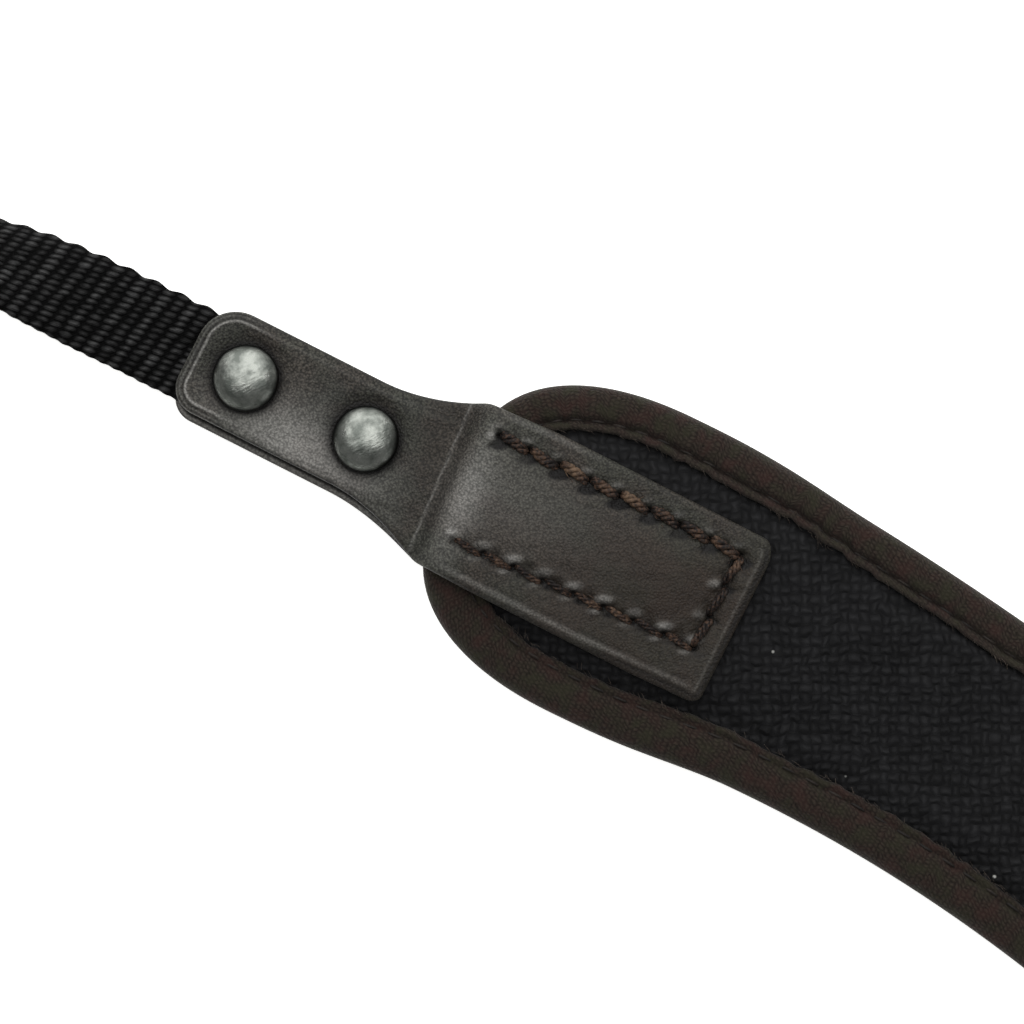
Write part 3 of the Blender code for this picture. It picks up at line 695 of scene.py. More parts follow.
def swellFoam(rings):
    # Cloth simulation of the pad's cover on a coarse mesh: air pressure stands in for the foam that pushes
    # outwards. Returns how far each point of the cover moved: face, ring, place round the edge.
    edge = padEdge(padSizes["coarseStep"])
    count, levels = len(edge["along"]), []
    for face, ring in bothFaces(rings):
        flat, half = padRing(edge, ring)
        slim = padSizes["slimmer"] * min(max(ring - 1, 0), 1) * settled(edge["along"])
        levels.append(np.column_stack([flat, padMid(edge["along"]) + face * (half - slim)]))
    points, faces, places = weld(np.concatenate(levels), gridFaces(len(levels), count, closed=True))
    mesh = bpy.data.meshes.new("foamCover")
    mesh.from_pydata(points.tolist(), [], faces)
    cover = bpy.data.objects.new("foamCover", mesh)
    bpy.context.collection.objects.link(cover)
    alongs, ringOf = np.tile(edge["along"], len(levels)), np.repeat(rings[::-1] + rings, count)
    held = (ringOf <= 1) | (alongs < leatherSizes["patchEnd"] + 2 * mm)
    group = cover.vertex_groups.new(name="sewnDown")
    group.add([int(k) for k in np.unique(places[held])], 1.0, "REPLACE")
    cloth = cover.modifiers.new("cloth", "CLOTH")
    settings = cloth.settings
    settings.vertex_group_mass = "sewnDown"
    settings.use_pressure = True
    settings.uniform_pressure_force = padSizes["pressure"]
    settings.effector_weights.gravity = 0
    settings.tension_stiffness = settings.compression_stiffness = padSizes["stiffness"]
    settings.bending_stiffness = padSizes["bendStiffness"]
    settings.shrink_min = padSizes["shrink"]
    cloth.collision_settings.use_self_collision = False
    cloth.point_cache.frame_end = padSizes["frames"]
    scene = bpy.context.scene
    for number in range(1, padSizes["frames"] + 1):
        scene.frame_set(number)
    shaped = cover.evaluated_get(bpy.context.evaluated_depsgraph_get()).data
    moved = np.array([v.co for v in shaped.vertices]) - points
    scene.frame_set(1)
    bpy.data.objects.remove(cover, do_unlink=True)
    bpy.data.meshes.remove(mesh)
    reach = np.linalg.norm(moved, axis=1, keepdims=True)
    moved = moved * padSizes["swellCap"] / (padSizes["swellCap"] + reach)
    moved = moved[places].reshape(2, len(rings), count, 3)
    print("foam swelled, most moved", round(float(np.abs(moved[..., 2]).max() / mm), 2), "mm")
    return np.stack([moved[0, ::-1], moved[1]])


def makePad():
    edge = padEdge(padSizes["step"])
    run, count = edge["run"], len(edge["run"])
    free, mid = settled(edge["along"]), padMid(edge["along"])
    coarse = padSizes["coarseRings"]
    moved = swellFoam(coarse)
    dips = 0.5 + 0.5 * np.cos(math.tau * run / bindingSizes["stitchPitch"])
    dips = padSizes["stitchDip"] * dips * (0.6 + 0.4 * waves(run, 0 * run, 30 * mm, 5))
    levels = []
    for face, ring in bothFaces(padSizes["rings"]):
        flat, half = padRing(edge, ring)
        inside = min(max(ring - 1, 0), 1)
        slim = inside - (padSizes["quickSwell"] * ease(inside) if moved is None else 0)
        level = np.column_stack([flat, mid + face * (half - padSizes["slimmer"] * slim * free)])
        if moved is not None and ring > coarse[0]:
            here = cubicAt(moved[(face + 1) // 2], np.interp([ring], coarse, range(len(coarse))))[0]
            level += cubicAt(here, np.arange(count) * moved.shape[2] / count, cyclic=True)
        x, y = level[:, 0], level[:, 1]
        uneven = waves(x, y, 26 * mm, 11 + face) + 0.5 * waves(x, y, 9 * mm, 21 + face)
        level[:, 2] += padSizes["unevenness"] * uneven * ease(inside * 1.5) * (0.35 + 0.65 * free)
        level[:, 2] -= face * dips * inside * (1 - inside ** 2) * 2 * bell(inside, 0.35)
        if face < 0:  # stays above the surface, softly
            level[:, 2] = 0.05 * mm + (level[:, 2] + np.sqrt(level[:, 2] ** 2 + (0.25 * mm) ** 2)) / 2
        levels.append(level)
    points, faces, unused = weld(np.concatenate(levels), gridFaces(len(levels), count, closed=True))
    pad = addPiece("pad_cover", points, faces, canvasCloth, ["neck_pad"])
    print("pad made,", len(faces), "faces")


def bindingSection(cover, groove):
    # Rows round the folded tape, from its upper inner edge over the fold to the lower one and back inside:
    # distance in, height, tone of the painted highlight and shade, painted shade on the neck side
    stitchLine = cover - bindingSizes["seamIn"]
    upper = [(stitchLine + before * mm, high * mm - bindingSizes["groove"] * share * groove, tone, neckShade)
             for before, high, share, tone, neckShade in bindingSizes["lipRows"]]
    crest, (outward, upward) = upper[-1][0], bindingSizes["foldPowers"]
    for share, tone in bindingSizes["foldRows"]:
        inset = crest * (1 - share) - bindingSizes["swell"] * share ** 2
        upper.append((inset, bindingSizes["foldHeight"] * (1 - share ** outward) ** upward, tone, 0))
    edgeRow = (cover, bindingSizes["inside"][0][1] * mm, -1, 0)
    inner = [edgeRow] + [(inset * mm, height * mm, -1, 0) for inset, height in bindingSizes["inside"]]
    lower = [(inset, -height, tone, neckShade) for inset, height, tone, neckShade in upper[-2::-1] + inner]
    return upper + lower + inner[::-1]


def makeBinding(edge):
    order = np.r_[np.arange(len(edge["along"])), 0]
    run = np.r_[edge["run"], edge["length"]]
    point, inward, along, lean = (edge[key][order] for key in ("point", "inward", "along", "lean"))
    outer, cover = (1 - lean) / 2, tapeCover(lean)
    for most, size, seed in bindingSizes["unevenCover"]:
        cover = cover + most * mm * waves(run, 0 * run, size * mm, seed)
    groove = (0.35 + 0.65 * outer) * (0.8 + 0.35 * np.cos(math.tau * run / bindingSizes["stitchPitch"]))
    section = bindingSection(cover, groove)
    mid = padMid(along)
    joined = bindingSizes["joinStep"] * ease((run - edge["length"] + bindingSizes["joinLength"]) / (1 * mm))
    levels, marks, girth = [], [], 0 * run
    for inset, height, tone, neckShade in section:
        inset, height = np.broadcast_to(inset, run.shape), np.broadcast_to(height, run.shape)
        bulge = 0.05 * mm * waves(run, height * 3, 5 * mm, 33)
        bulge = bulge + 0.04 * mm * waves(run, inset * 2, 2.2 * mm, 34)
        isFace = np.abs(height) > 1.32 * mm
        bulge = bulge * fade(np.abs(height), 0, 1.5 * mm) + joined * isFace
        level = np.column_stack([point + inward * inset[:, None], mid + height + np.sign(height) * bulge])
        level[:, 2] = np.maximum(level[:, 2], 0.3 * mm)
        if levels:
            girth = girth + np.linalg.norm(level - levels[-1], axis=1)
        levels.append(level)
        # painted highlight on the lip and the fold's crest, weaker on the neck side, and painted shade in the
        # groove and on the neck side
        marks.append(np.column_stack([run, girth, tone * (0.35 + 0.65 * outer) - neckShade * (1 - outer)]))
    around, length = len(section), len(run)
    closing = np.arange(length - 1)
    last = (around - 1) * length
    closed = np.stack([last + closing, closing, closing + 1, last + closing + 1], -1)
    faces = np.concatenate([gridFaces(around, length), closed])[:, ::-1].tolist()
    ends = np.arange(around) * length
    faces += [ends.tolist(), (ends[::-1] + length - 1).tolist()]
    addPiece("binding_tape", np.concatenate(levels), faces, twillTape, ["edge_binding"],
             {"tapePlaceAndPaintedLight": np.concatenate(marks)})
    print("binding made,", len(faces), "faces")


def makeBindingThread(edge):
    # Sewing thread sunk in the tape, on both faces
    stitches = round(edge["length"] / bindingSizes["stitchPitch"])
    pitch = edge["length"] / stitches
    share = np.linspace(0, 1, 6)
    size, starts = bindingSizes, (np.arange(stitches) + bindingSizes["stitchStart"]) * pitch
    places = starts[:, None] + size["stitchLength"] * pitch * share
    point, inward, along, lean = readEdge(edge, places)
    flat = point + inward * (tapeCover(lean) - size["seamIn"])[..., None]
    sunk = size["threadSunk"] * (0.35 + 0.65 * (1 - lean) / 2)
    height = size["threadHeight"] - sunk + size["threadArch"] * np.sin(math.pi * share)
    height = height - size["threadDive"] * np.abs(2 * share - 1) ** 4
    sideways = np.concatenate([inward[:, 2], np.zeros((stitches, 1))], -1)
    points, faces = joinParts([
        tubes(np.concatenate([flat, (padMid(along) + face * height)[..., None]], -1), sideways,
              size["threadRadius"], 5) for face in (-1, 1)])
    addPiece("binding_thread", points, faces, bindingThread)


def makeFrayedFibres(edge):
    # Loose fibres that fray out of the tape's inner edge over the canvas
    rng = np.random.default_rng(35)
    size, total = bindingSizes, bindingSizes["fibres"]
    start, reach = rng.uniform(0, edge["length"], total), rng.uniform(*size["fibreLength"], total)
    slant = size["fibreSlant"] + rng.normal(0, size["slantSpread"], total)
    share = np.linspace(0, 1, 5)
    bend = rng.normal(0, size["fibreBend"], total)[:, None] * share ** 2
    forward = reach[:, None] * share * np.cos(slant)[:, None]
    sideStep = reach[:, None] * (share * np.sin(slant)[:, None] + bend)
    point, inward, along, lean = readEdge(edge, start[:, None] + forward)
    first, spread = size["fibreRoots"]
    inset = tapeCover(lean) + first - spread * rng.random(total)[:, None] + sideStep
    sway = size["fibreSway"] * rng.normal(0, 1, total)[:, None]
    height = padMid(along) + size["fibreHeight"] - size["fibreDroop"] * share + sway * share
    paths = np.concatenate([point + inward * inset[..., None], height[..., None]], -1)
    sideways = np.concatenate([inward[:, 2], np.zeros((total, 1))], -1)
    points, faces = tubes(paths, sideways, size["fibreRadius"] * (1 - 0.5 * share), 3)
    addPiece("frayed_tape_fibres", points, faces, tapeFibre)


# Leather

leatherSizes = {
    "thickness": 1.5 * mm,
    "tongueWidth": 12.7 * mm,
    "tongueOffset": 0.25 * mm,
    "tongueCorner": (4.2 * mm, 2.9 * mm),  # on the outer and the neck side
    "layerShift": (0.85 * mm, 0.4 * mm),  # the upper layer stays back on the neck side, the lower on the other
    "oversize": 0.1 * mm,
    "tip": -20.3 * mm,
    "upperTip": 0.15 * mm,  # the upper layer reaches this much further
    "creaseAfter": 0.2 * mm,  # pressed line of the crease, past the bend
    "creaseSkew": 0.0535,
    "riseLength": 3.2 * mm,
    "flareLength": 11 * mm,
    "flarePower": 1.9,
    "shoulderRound": 0.1,  # how softly the flare meets the patch
    "spread": (((12, 18), (0, 0.35)), ((12, 16, 36), (0, 0.25, 1.0))),  # outer and neck side: mm along, wider
    "patchWidth": 18.3 * mm,
    "patchEndWidth": 17.1 * mm,
    "patchEnd": 43.3 * mm,
    "patchCorner": 1.5 * mm,
    "patchCornerDepth": (1.8, 0.75),  # across, as a share of its length, on the outer and the neck side
    "edgeRound": 0.7 * mm,
    "grid": ((120, 38), (240, 76)),  # rows and columns of the lower and of the upper layer's mesh
    "upperLow": (4.3 * mm, 6.3 * mm),  # underside in the tongue and in the patch
    "lowerLow": (0.9 * mm, 0.0 * mm),
    "webbingHalf": 4.9 * mm,
    "pinch": (0.75 * mm, 0.4 * mm),  # how far the lower and the upper layer bend together beside the webbing
    "lipRise": 0.25 * mm,  # how much further the lower layer's neck edge bends up
    "rimRings": (  # distance in from the outline in mm, share of the thickness, painted sheen and wear, painted shade
        (0.45, 0.98, 0, 0), (0.26, 0.94, 0, 0), (0.12, 0.87, 0, 0), (0.03, 0.75, 0, 0), (0.0, 0.5, 0.15, 0.3),
        (0.0, 0.28, 0.1, 0.35), (0.08, 0.10, 0.1, 0.35), (0.24, 0.015, 0.1, 0.35), (0.42, 0.0, 0.1, 0.35),
    ),
    # the lower layer's lip that shows beside the upper one: distance in: painted sheen and wear, painted shade
    "lipMarks": {0.08: (0.1, 0.45), 0.24: (0.45, 0.0), 0.42: (0.5, 0.0)},
}
rivetPlaces = {"outer": -14.0 * mm, "inner": 0.0}
seam = {
    "corners": ((12.4, -6.5), (40.3, -6.3), (40.2, 4.5), (12.8, 5.4)),  # mm along and across
    "stitches": (8, 3, 8),
    "plies": 3,
    "plyRadius": 0.22 * mm,
    "twistRadius": 0.28 * mm,
    "twists": 1.35,  # in one stitch
    "bulk": (1.24, 0.98, 0.76),  # how full the thread is in the outer, the end and the neck row
    "flatness": 0.65,  # height of the worn thread as a share of its width
    "slant": 0.28 * mm,
    "sunk": 0.42,  # mm, a stitch's ends in their holes
    "rise": 0.20,  # mm, its middle
    "above": 0.12 * mm,  # the whole thread, above the worn leather
    "lowest": 0.18 * mm,
    "hairs": (5, 10),  # from and below, for each stitch
    "hairLength": (0.4, 1.2),  # mm
    "hairRadius": 0.04 * mm,
    "puckerTurn": math.radians(26.9),  # the puckers beside the holes lie at this angle to the seam
    "puckers": {  # place from the hole, size in mm, rise, painted highlight, painted shade
        "outer": [(0.03, 0.92, 1.1, 0.52, -0.40, 0, 1.6), (-0.3, -0.95, 0.8, 0.32, 0.20, 0.2, 0)],
        "end": [(-1.05, -0.25, 0.75, 0.48, 0.30, 0.30, 0), (0.45, 0.5, 0.6, 0.35, -0.25, 0, 0.7)],
        "neck": [(-0.03, -0.85, 0.95, 0.48, 0.34, 0.46, 0), (-0.95, 0.34, 0.75, 0.38, 0.18, 0.26, 0),
                 (0.6, 0.75, 0.6, 0.3, -0.2, 0, 0.6)],
        "first": [(-0.75, -0.08, 0.6, 0.5, 0.25, 0.55, 0)],
        "last": [(-0.1, -0.7, 0.66, 0.6, 0.34, 0.68, 0)],
    },
}
# bands of relief, of painted sheen and wear, of painted shade and of the patch's darker colour
leatherBands = (  # map, area, what it is measured from, form, place and width in mm, amount
    # a pressed line and a ridge round the tongue, deepest at its tip, with a painted highlight on the ridge
    # and painted shade in the lines
    ("relief", "tongueRim", "edge", "band", 1.04, 0.17, 0.10),
    ("relief", "tip", "edge", "band", 0.76, 0.12, -0.10),
    ("relief", "tongue", "edge", "step", 0, 0.5, -0.12),
    ("relief", "tip", "edge", "step", 0, 1.0, -0.14),
    ("paintedSheenAndWear", "tongue", "edge", "band", 1.04, 0.13, 0.05),
    ("paintedSheenAndWear", "tip", "edge", "band", 1.04, 0.13, 0.75),
    ("paintedSheenAndWear", "tip", "edge", "band", 0.46, 0.11, 0.2),
    ("paintedSheenAndWear", "tip", "edge", "band", 0.06, 0.10, 0.2),
    ("paintedShade", "tip", "edge", "band", 0.27, 0.10, 0.45),
    ("paintedShade", "tip", "edge", "band", 0.76, 0.12, 0.55),
    ("paintedShade", "belowTip", "edge", "band", 0.08, 0.13, 0.7),
    # the patch's edge: a pale line of painted sheen and wear, and outside it a ledge that lies lower, with
    # painted shade on it; painted shade along the patch's end
    ("relief", "patch", "edge", "step", 0, 0.5, -0.15),
    ("relief", "sides", "line", "step", -0.55, 0.3, -0.14),
    ("relief", "neckSide", "line", "step", -0.55, 0.3, -0.12),
    ("relief", "neckSide", "line", "band", 0.5, 0.2, -0.05),
    ("paintedSheenAndWear", "neckLine", "line", "band", 0, 0.27, 0.22),
    ("paintedSheenAndWear", "outerLine", "line", "band", 0, 0.27, 0.2),
    ("paintedShade", "neckSide", "line", "step", -0.55, 0.3, 0.45),
    ("paintedShade", "outerSide", "line", "step", -0.55, 0.3, 0.3),
    ("paintedShade", "neckLedge", "line", "band", -0.65, 0.2, 0.3),
    ("paintedShade", "neckSide", "line", "band", 0.5, 0.18, 0.3),
    ("relief", "end", "edge", "step", 0, 0.9, -0.22),
    ("paintedSheenAndWear", "end", "edge", "band", 1.0, 0.14, 0.12),
    ("paintedShade", "end", "edge", "band", 0.45, 0.3, 0.8),
    # the crease, with a painted highlight on its ridge and painted shade behind it, painted shade and a darker
    # colour on the tongue before it, and a painted highlight on the slope behind it
    ("paintedSheenAndWear", "slope", "crease", "band", 3.1, 1.8, 0.46),
    ("paintedShade", "beforePatch", "crease", "band", -2.2, 2.4, 0.22),
    ("relief", "upper", "crease", "band", 0, 0.12, 0.10),
    ("relief", "upper", "crease", "band", 0.8, 0.6, -0.13),
    ("paintedSheenAndWear", "upper", "crease", "band", 0, 0.10, 0.36),
    ("paintedShade", "upper", "crease", "band", 0.9, 0.7, 0.34),
    ("colour", "beforePatch", "inner rivet", "band", 6.5, 3.5, 0.2),
    # a ring pressed round each rivet, with painted shade in it and beside each rivet, darkest towards the tip
    # and the outer side
    ("relief", "all", "rivets", "band", 3.5, 1.0, -0.34),
    ("relief", "all", "rivets", "band", 5.4, 0.9, 0.08),
    ("paintedShade", "all", "rivets", "band", 3.42, 0.4, 0.85),
    ("paintedShade", "all", "rivets", "band", 3.6, 1.0, 0.24),
    ("paintedShade", "all", "beside rivets", "band", 0, 4.4, 0.42),
    # the thread draws the leather down, with painted shade along the seam
    ("relief", "all", "seam", "band", 0, 0.75, -0.30),
    ("paintedShade", "all", "seam", "band", 0, 0.5, 0.3),
)
leatherPatches = (  # map, area, middle along and across, half size along and across in mm, amount
    # painted sheen on the tongue's neck side and on the patch by the slope, and the patch's darker brown,
    # partly painted shade, round its middle
    ("paintedSheenAndWear", "tongueSheen", -6, 3.9, 9, 3.8, 0.58),
    ("paintedSheenAndWear", "patch", 15, -1.5, 10, 5, 0.13),
    ("colour", "patch", 27, 0, 15, 6, 0.45),
)


def seamHoles():
    holes = [np.array(seam["corners"][0])]
    for k, count in enumerate(seam["stitches"]):
        a, b = np.array(seam["corners"][k]), np.array(seam["corners"][k + 1])
        holes += [a + (b - a) * (j + 1) / count for j in range(count)]
    return np.array(holes)


def lineDistance(x, y, corners):
    # Distance from points to a line of straight pieces
    best = np.full(np.shape(x), np.inf)
    for (ax, ay), (bx, by) in zip(corners, corners[1:]):
        dx, dy = bx - ax, by - ay
        share = np.clip(((x - ax) * dx + (y - ay) * dy) / (dx * dx + dy * dy), 0, 1)
        best = np.minimum(best, np.hypot(x - ax - share * dx, y - ay - share * dy))
    return best


def leatherEdges(along, isUpper):
    # How far the layer reaches on the outer and on the neck side
    size = leatherSizes
    rise = np.maximum((along - strapLine["padEnd"]) / size["flareLength"] + 1, 0) ** size["flarePower"]
    flare = (rise + 1 - np.sqrt((rise - 1) ** 2 + size["shoulderRound"] ** 2)) / 2
    taper = np.maximum(0, (along - strapLine["padEnd"]) / (size["patchEnd"] - strapLine["padEnd"]))
    full = size["tongueWidth"] + (size["patchWidth"] - size["tongueWidth"]) * flare
    full = full - (size["patchWidth"] - size["patchEndWidth"]) * taper
    offset = size["tongueOffset"] * (1 - flare)
    outerSpread, neckSpread = (np.interp(along / mm, places, wider) * mm for places, wider in size["spread"])
    outer, neck = (full / 2 + size["oversize"] + more for more in (outerSpread - offset, neckSpread + offset))
    neckShift, outerShift = size["layerShift"]
    return (outer, neck - neckShift * (1 - flare)) if isUpper else (outer - outerShift * (1 - flare), neck)


def leatherGrid(inset, isUpper, rows, columns):
    # Places along and across of a grid that fills the layer's outline, moved in by inset
    outerTongue, neckTongue = leatherSizes["tongueCorner"]
    outerDepth, neckDepth = leatherSizes["patchCornerDepth"]
    tipTurn, endTurn = np.linspace(0, math.pi / 2, 15), np.linspace(math.pi / 2, 0, 9)
    tipRadius, endRadius = outerTongue - inset, leatherSizes["patchCorner"] - inset
    tipFrom = leatherSizes["tip"] + outerTongue - isUpper * leatherSizes["upperTip"]
    endFrom = leatherSizes["patchEnd"] - leatherSizes["patchCorner"]
    creaseRow = rows // 4  # the crease and the stitched patch get the closer rows
    closeFrom = strapLine["crease"] - 1 * mm
    along = np.concatenate([
        tipFrom - tipRadius * np.cos(tipTurn), np.linspace(tipFrom, closeFrom, creaseRow)[1:],
        np.linspace(closeFrom, endFrom, rows - creaseRow)[1:-1], endFrom + endRadius * np.cos(endTurn)])

    def cornerCut(radius, endShare):
        fromTip = np.clip(radius - (along - along[0]), 0, radius)
        fromEnd = np.clip(endRadius - (along[-1] - along), 0, endRadius)
        endCut = endRadius - np.sqrt(endRadius ** 2 - fromEnd ** 2)
        return radius - np.sqrt(radius ** 2 - fromTip ** 2) + endShare * endCut

    outer, neck = leatherEdges(along, isUpper)
    outer = outer - inset - cornerCut(tipRadius, outerDepth)
    neck = neck - inset - cornerCut(neckTongue - inset, neckDepth)
    across = -outer[:, None] + (outer + neck)[:, None] * np.linspace(0, 1, columns)
    return np.broadcast_to(along[:, None], across.shape), across


def loopOrder(rows, columns):
    top = np.arange(rows * columns).reshape(rows, columns)
    return np.concatenate([top[0, :-1], top[:-1, -1], top[-1, :0:-1], top[:0:-1, 0]])


def markAreas(s, y, d, fromCrease, isUpper):
    # Share of each area at each point, and how far in it is from the pale line of painted sheen and wear along
    # the patch's edge; in mm
    tongue, patch = 1 - fade(fromCrease, -3, 3), fade(fromCrease, 2, 4)
    tip = 1 - fade(s, -17.5, 5)
    end = bell(np.maximum(leatherSizes["patchEnd"] / mm - s - d, 0), 0.5) * fade(s, 38, 2)
    neck, sides = fade(y, 0, 2), patch * (1 - end)
    outerSide, neckSide = sides * (1 - neck), sides * neck
    fromLine = d - 0.55 - neck * (0.45 + 0.35 * fade(s, 28, 10))
    return {
        "all": 1, "upper": float(isUpper), "slope": bell(y - 0.6, 6), "end": end, "sides": sides,
        "tip": tip, "tongue": tongue, "tongueRim": tongue * (0.3 + 0.7 * tip), "belowTip": tongue * (1 - tip),
        "tongueSheen": tongue * fade(d, 0.1, 0.3), "beforePatch": 1 - patch, "patch": patch,
        "outerSide": outerSide, "outerLine": outerSide * (1 - fade(s, 18, 7)),
        "neckSide": neckSide, "neckLine": neckSide * (1 - 0.4 * fade(s, 30, 8)),
        "neckLedge": neckSide * fade(-fromLine, 0.25, 0.3) * fade(s, 28, 8),
    }, fromLine


def addPuckers(maps, s, y):
    # The holes of the seam, and the leather pushed up beside each of them, with painted shade in the holes and
    # pits and painted highlights on the lumps
    turnCos, turnSin = math.cos(seam["puckerTurn"]), math.sin(seam["puckerTurn"])
    outerCount, endCount, neckCount = seam["stitches"]
    rowNames = ["outer"] * (outerCount + 1) + ["end"] * (endCount - 1) + ["neck"] * neckCount + ["last"]
    for k, (holeS, holeY) in enumerate(seamHoles()):
        fromS, fromY = s - holeS, y - holeY
        hole = bell(np.hypot(fromS, fromY), 0.32)
        maps["relief"] -= 0.6 * hole
        # painted shade in each hole, except the last
        maps["paintedShade"] += 1.8 * hole * (rowNames[k] != "last")
        level, down = turnCos * fromS - turnSin * fromY, turnSin * fromS + turnCos * fromY
        for place in seam["puckers"][rowNames[k]] + seam["puckers"]["first"] * (k == 0):
            atLevel, atDown, length, height, rise, sheenAndWear, dark = place
            pucker = np.hypot((level - atLevel) / length, (down - atDown) / height)
            lump = 0.78 + 0.35 * math.sin(1.1 * k - 2.2) if dark else 0.95 + 0.35 * math.sin(2.3 * k)
            # painted highlight on each lump and painted shade in each pit
            maps["relief"] += rise * lump * bell(pucker, 1)
            maps["paintedSheenAndWear"] += sheenAndWear * lump * ease((1.5 - pucker) / 1.3)
            maps["paintedShade"] += dark * lump * ease((1.5 - pucker) / 0.8)


def leatherFace(along, across, distance, isUpper):
    # Relief of the outward face, and marks: painted sheen and wear, painted shade, share of the patch's darker
    # brown, which also stands in for painted shade towards its lower right
    s, y, d = along / mm, across / mm, distance / mm
    fromCrease = s - (strapLine["crease"] + leatherSizes["creaseAfter"]) / mm - leatherSizes["creaseSkew"] * y
    areas, fromLine = markAreas(s, y, d, fromCrease, isUpper)
    patch, fromSeam = areas["patch"], lineDistance(s, y, seam["corners"])
    rivets = [place / mm for place in rivetPlaces.values()]
    distances = {
        "edge": [d], "line": [fromLine], "crease": [fromCrease], "seam": [fromSeam], "inner rivet": [s],
        "rivets": [np.hypot(s - place, y) for place in rivets],
        "beside rivets": [np.hypot(s - place + 1.6, y + 1.2) for place in rivets],
    }
    maps = {name: np.zeros(s.shape) for name in ("relief", "paintedSheenAndWear", "paintedShade", "colour")}
    for name, area, measured, form, place, width, amount in leatherBands:
        for far in distances[measured]:
            share = bell(far - place, width) if form == "band" else 1 - fade(far, place, width)
            maps[name] += amount * areas[area] * share
    for name, area, atAlong, atAcross, halfAlong, halfAcross, amount in leatherPatches:
        maps[name] += amount * areas[area] * bell(s - atAlong, halfAlong) * bell(y - atAcross, halfAcross)
    worked = bell(fromSeam, 1.7)  # the leather crumples a little beside the seam, with painted shade in the crumples
    maps["relief"] += 0.07 * worked * waves(s, y, 1.7, 43)
    maps["paintedShade"] += 0.16 * worked * (1 + waves(s, y, 1.5, 44))
    # swells between the rows of stitches and thins towards the end
    between = fade(s, 11, 6) * fade(-s, -40.3, 5) * np.clip(1 - ((y + 0.5) / 6.0) ** 2, 0, 1) ** 0.8
    maps["relief"] += 0.42 * between - 0.30 * fade(s, 16, 26) * patch
    addPuckers(maps, s, y)
    maps["relief"] += 0.05 * waves(s, y, 9, 41) + 0.025 * waves(s, y, 2.6, 42)
    # the patch's darker brown, deepening towards its lower right as painted shade
    maps["colour"] += 0.2 * patch + 0.5 * patch * fade(s + 1.2 * y, 20, 22)
    marks = np.stack([np.clip(maps[name], 0, 1) for name in ("paintedSheenAndWear", "paintedShade", "colour")], -1)
    return maps["relief"] * mm, marks


def outlineDistance(along, across, isUpper):
    gridAlong, gridAcross = leatherGrid(0.0, isUpper, 220, 40)
    order = loopOrder(*gridAlong.shape)
    outline = np.column_stack([gridAlong.ravel()[order], gridAcross.ravel()[order]])
    flatAlong, flatAcross = along.reshape(-1, 1), across.reshape(-1, 1)
    best = np.full(along.size, np.inf)
    for points in np.array_split(outline, 12):
        best = np.minimum(best, np.hypot(flatAlong - points[:, 0], flatAcross - points[:, 1]).min(1))
    return best.reshape(along.shape)


def leatherHeights(along, across, distance, isUpper):
    # Height of the face that meets the webbing or the pad, and of the outward one
    size, fromCrease = leatherSizes, along - strapLine["crease"]
    low, lowPatch = size["upperLow" if isUpper else "lowerLow"]
    low = low + (lowPatch - low) * fade(fromCrease, size["creaseSkew"] * across, size["riseLength"])
    tongue = 1 - fade(fromCrease, -5 * mm, 4 * mm)
    pinch = size["pinch"][isUpper] * tongue * fade(np.abs(across), size["webbingHalf"], 0.9 * mm)
    relief, marks = leatherFace(along, across, distance, isUpper)
    if isUpper:
        return low - pinch, low - pinch + size["thickness"] + relief, marks
    pinch = pinch + size["lipRise"] * tongue * fade(across, 5.4 * mm, 1 * mm)
    return low + pinch + size["thickness"], np.maximum(low + pinch - 0.8 * relief, 0.02 * mm), marks


def makeLeatherLayer(isUpper, side, sideName):
    rows, columns = leatherSizes["grid"][isUpper]
    along, across = leatherGrid(leatherSizes["edgeRound"], isUpper, rows, columns)
    distance = outlineDistance(along, across, isUpper)
    near, far, marks = leatherHeights(along, across, distance, isUpper)
    order = loopOrder(*along.shape)
    layers, layerMarks = [strapPoint(along, across, far).reshape(-1, 3)], [marks.reshape(-1, 3)]
    edgeNear, edgeFar = near.ravel()[order], far.ravel()[order]
    for inset, share, sheenAndWear, dark in leatherSizes["rimRings"]:
        ring = leatherGrid(inset * mm, isUpper, rows, columns)
        ringAlong, ringAcross = (places.ravel()[order] for places in ring)
        rough = 0.012 * mm * waves(ringAlong, ringAcross, 1.4 * mm, 51)
        layers.append(strapPoint(ringAlong, ringAcross, edgeNear + (edgeFar - edgeNear) * share + rough))
        ringMarks = leatherFace(ringAlong, ringAcross, np.full(len(order), inset * mm), isUpper)[1]
        # the side wall of the edge gets the given painted sheen and wear and painted shade
        if share < 0.6:
            ringMarks[:, :2] = (sheenAndWear, dark) if isUpper else leatherSizes["lipMarks"].get(inset, (sheenAndWear, dark))
        layerMarks.append(ringMarks)
    layers.append(strapPoint(along, across, near).reshape(-1, 3))
    # the face against the webbing or the pad keeps less painted sheen and painted shade; the lower layer's lip
    # beside the upper one gets painted shade
    hidden = layerMarks[0] * (0.3, 0.5, 1)
    if not isUpper:
        hidden[:, 1] = np.maximum(hidden[:, 1], 0.8 * ease((1.2 - distance.ravel() / mm) / 0.3))
    layerMarks.append(hidden)
    sheet, around = gridFaces(*along.shape), len(order)
    starts = [along.size + k * around for k in range(len(leatherSizes["rimRings"]) + 1)]
    inner = starts.pop()
    loops = [order] + [start + np.arange(around) for start in starts] + [inner + order]
    faces = [sheet[:, ::-1]]
    for a, b in zip(loops, loops[1:]):
        faces.append(np.stack([a, b, np.roll(b, -1), np.roll(a, -1)], -1))
    faces = np.concatenate(faces + [sheet + inner])
    if not isUpper:
        faces = faces[:, ::-1]
    name = "upper" if isUpper else "lower"
    addPiece(f"{name}_tab_{sideName}", np.concatenate(layers), faces.tolist(), leather,
             [f"{name}_leather_{sideName}"], {"leatherMarks": np.concatenate(layerMarks)}, side)


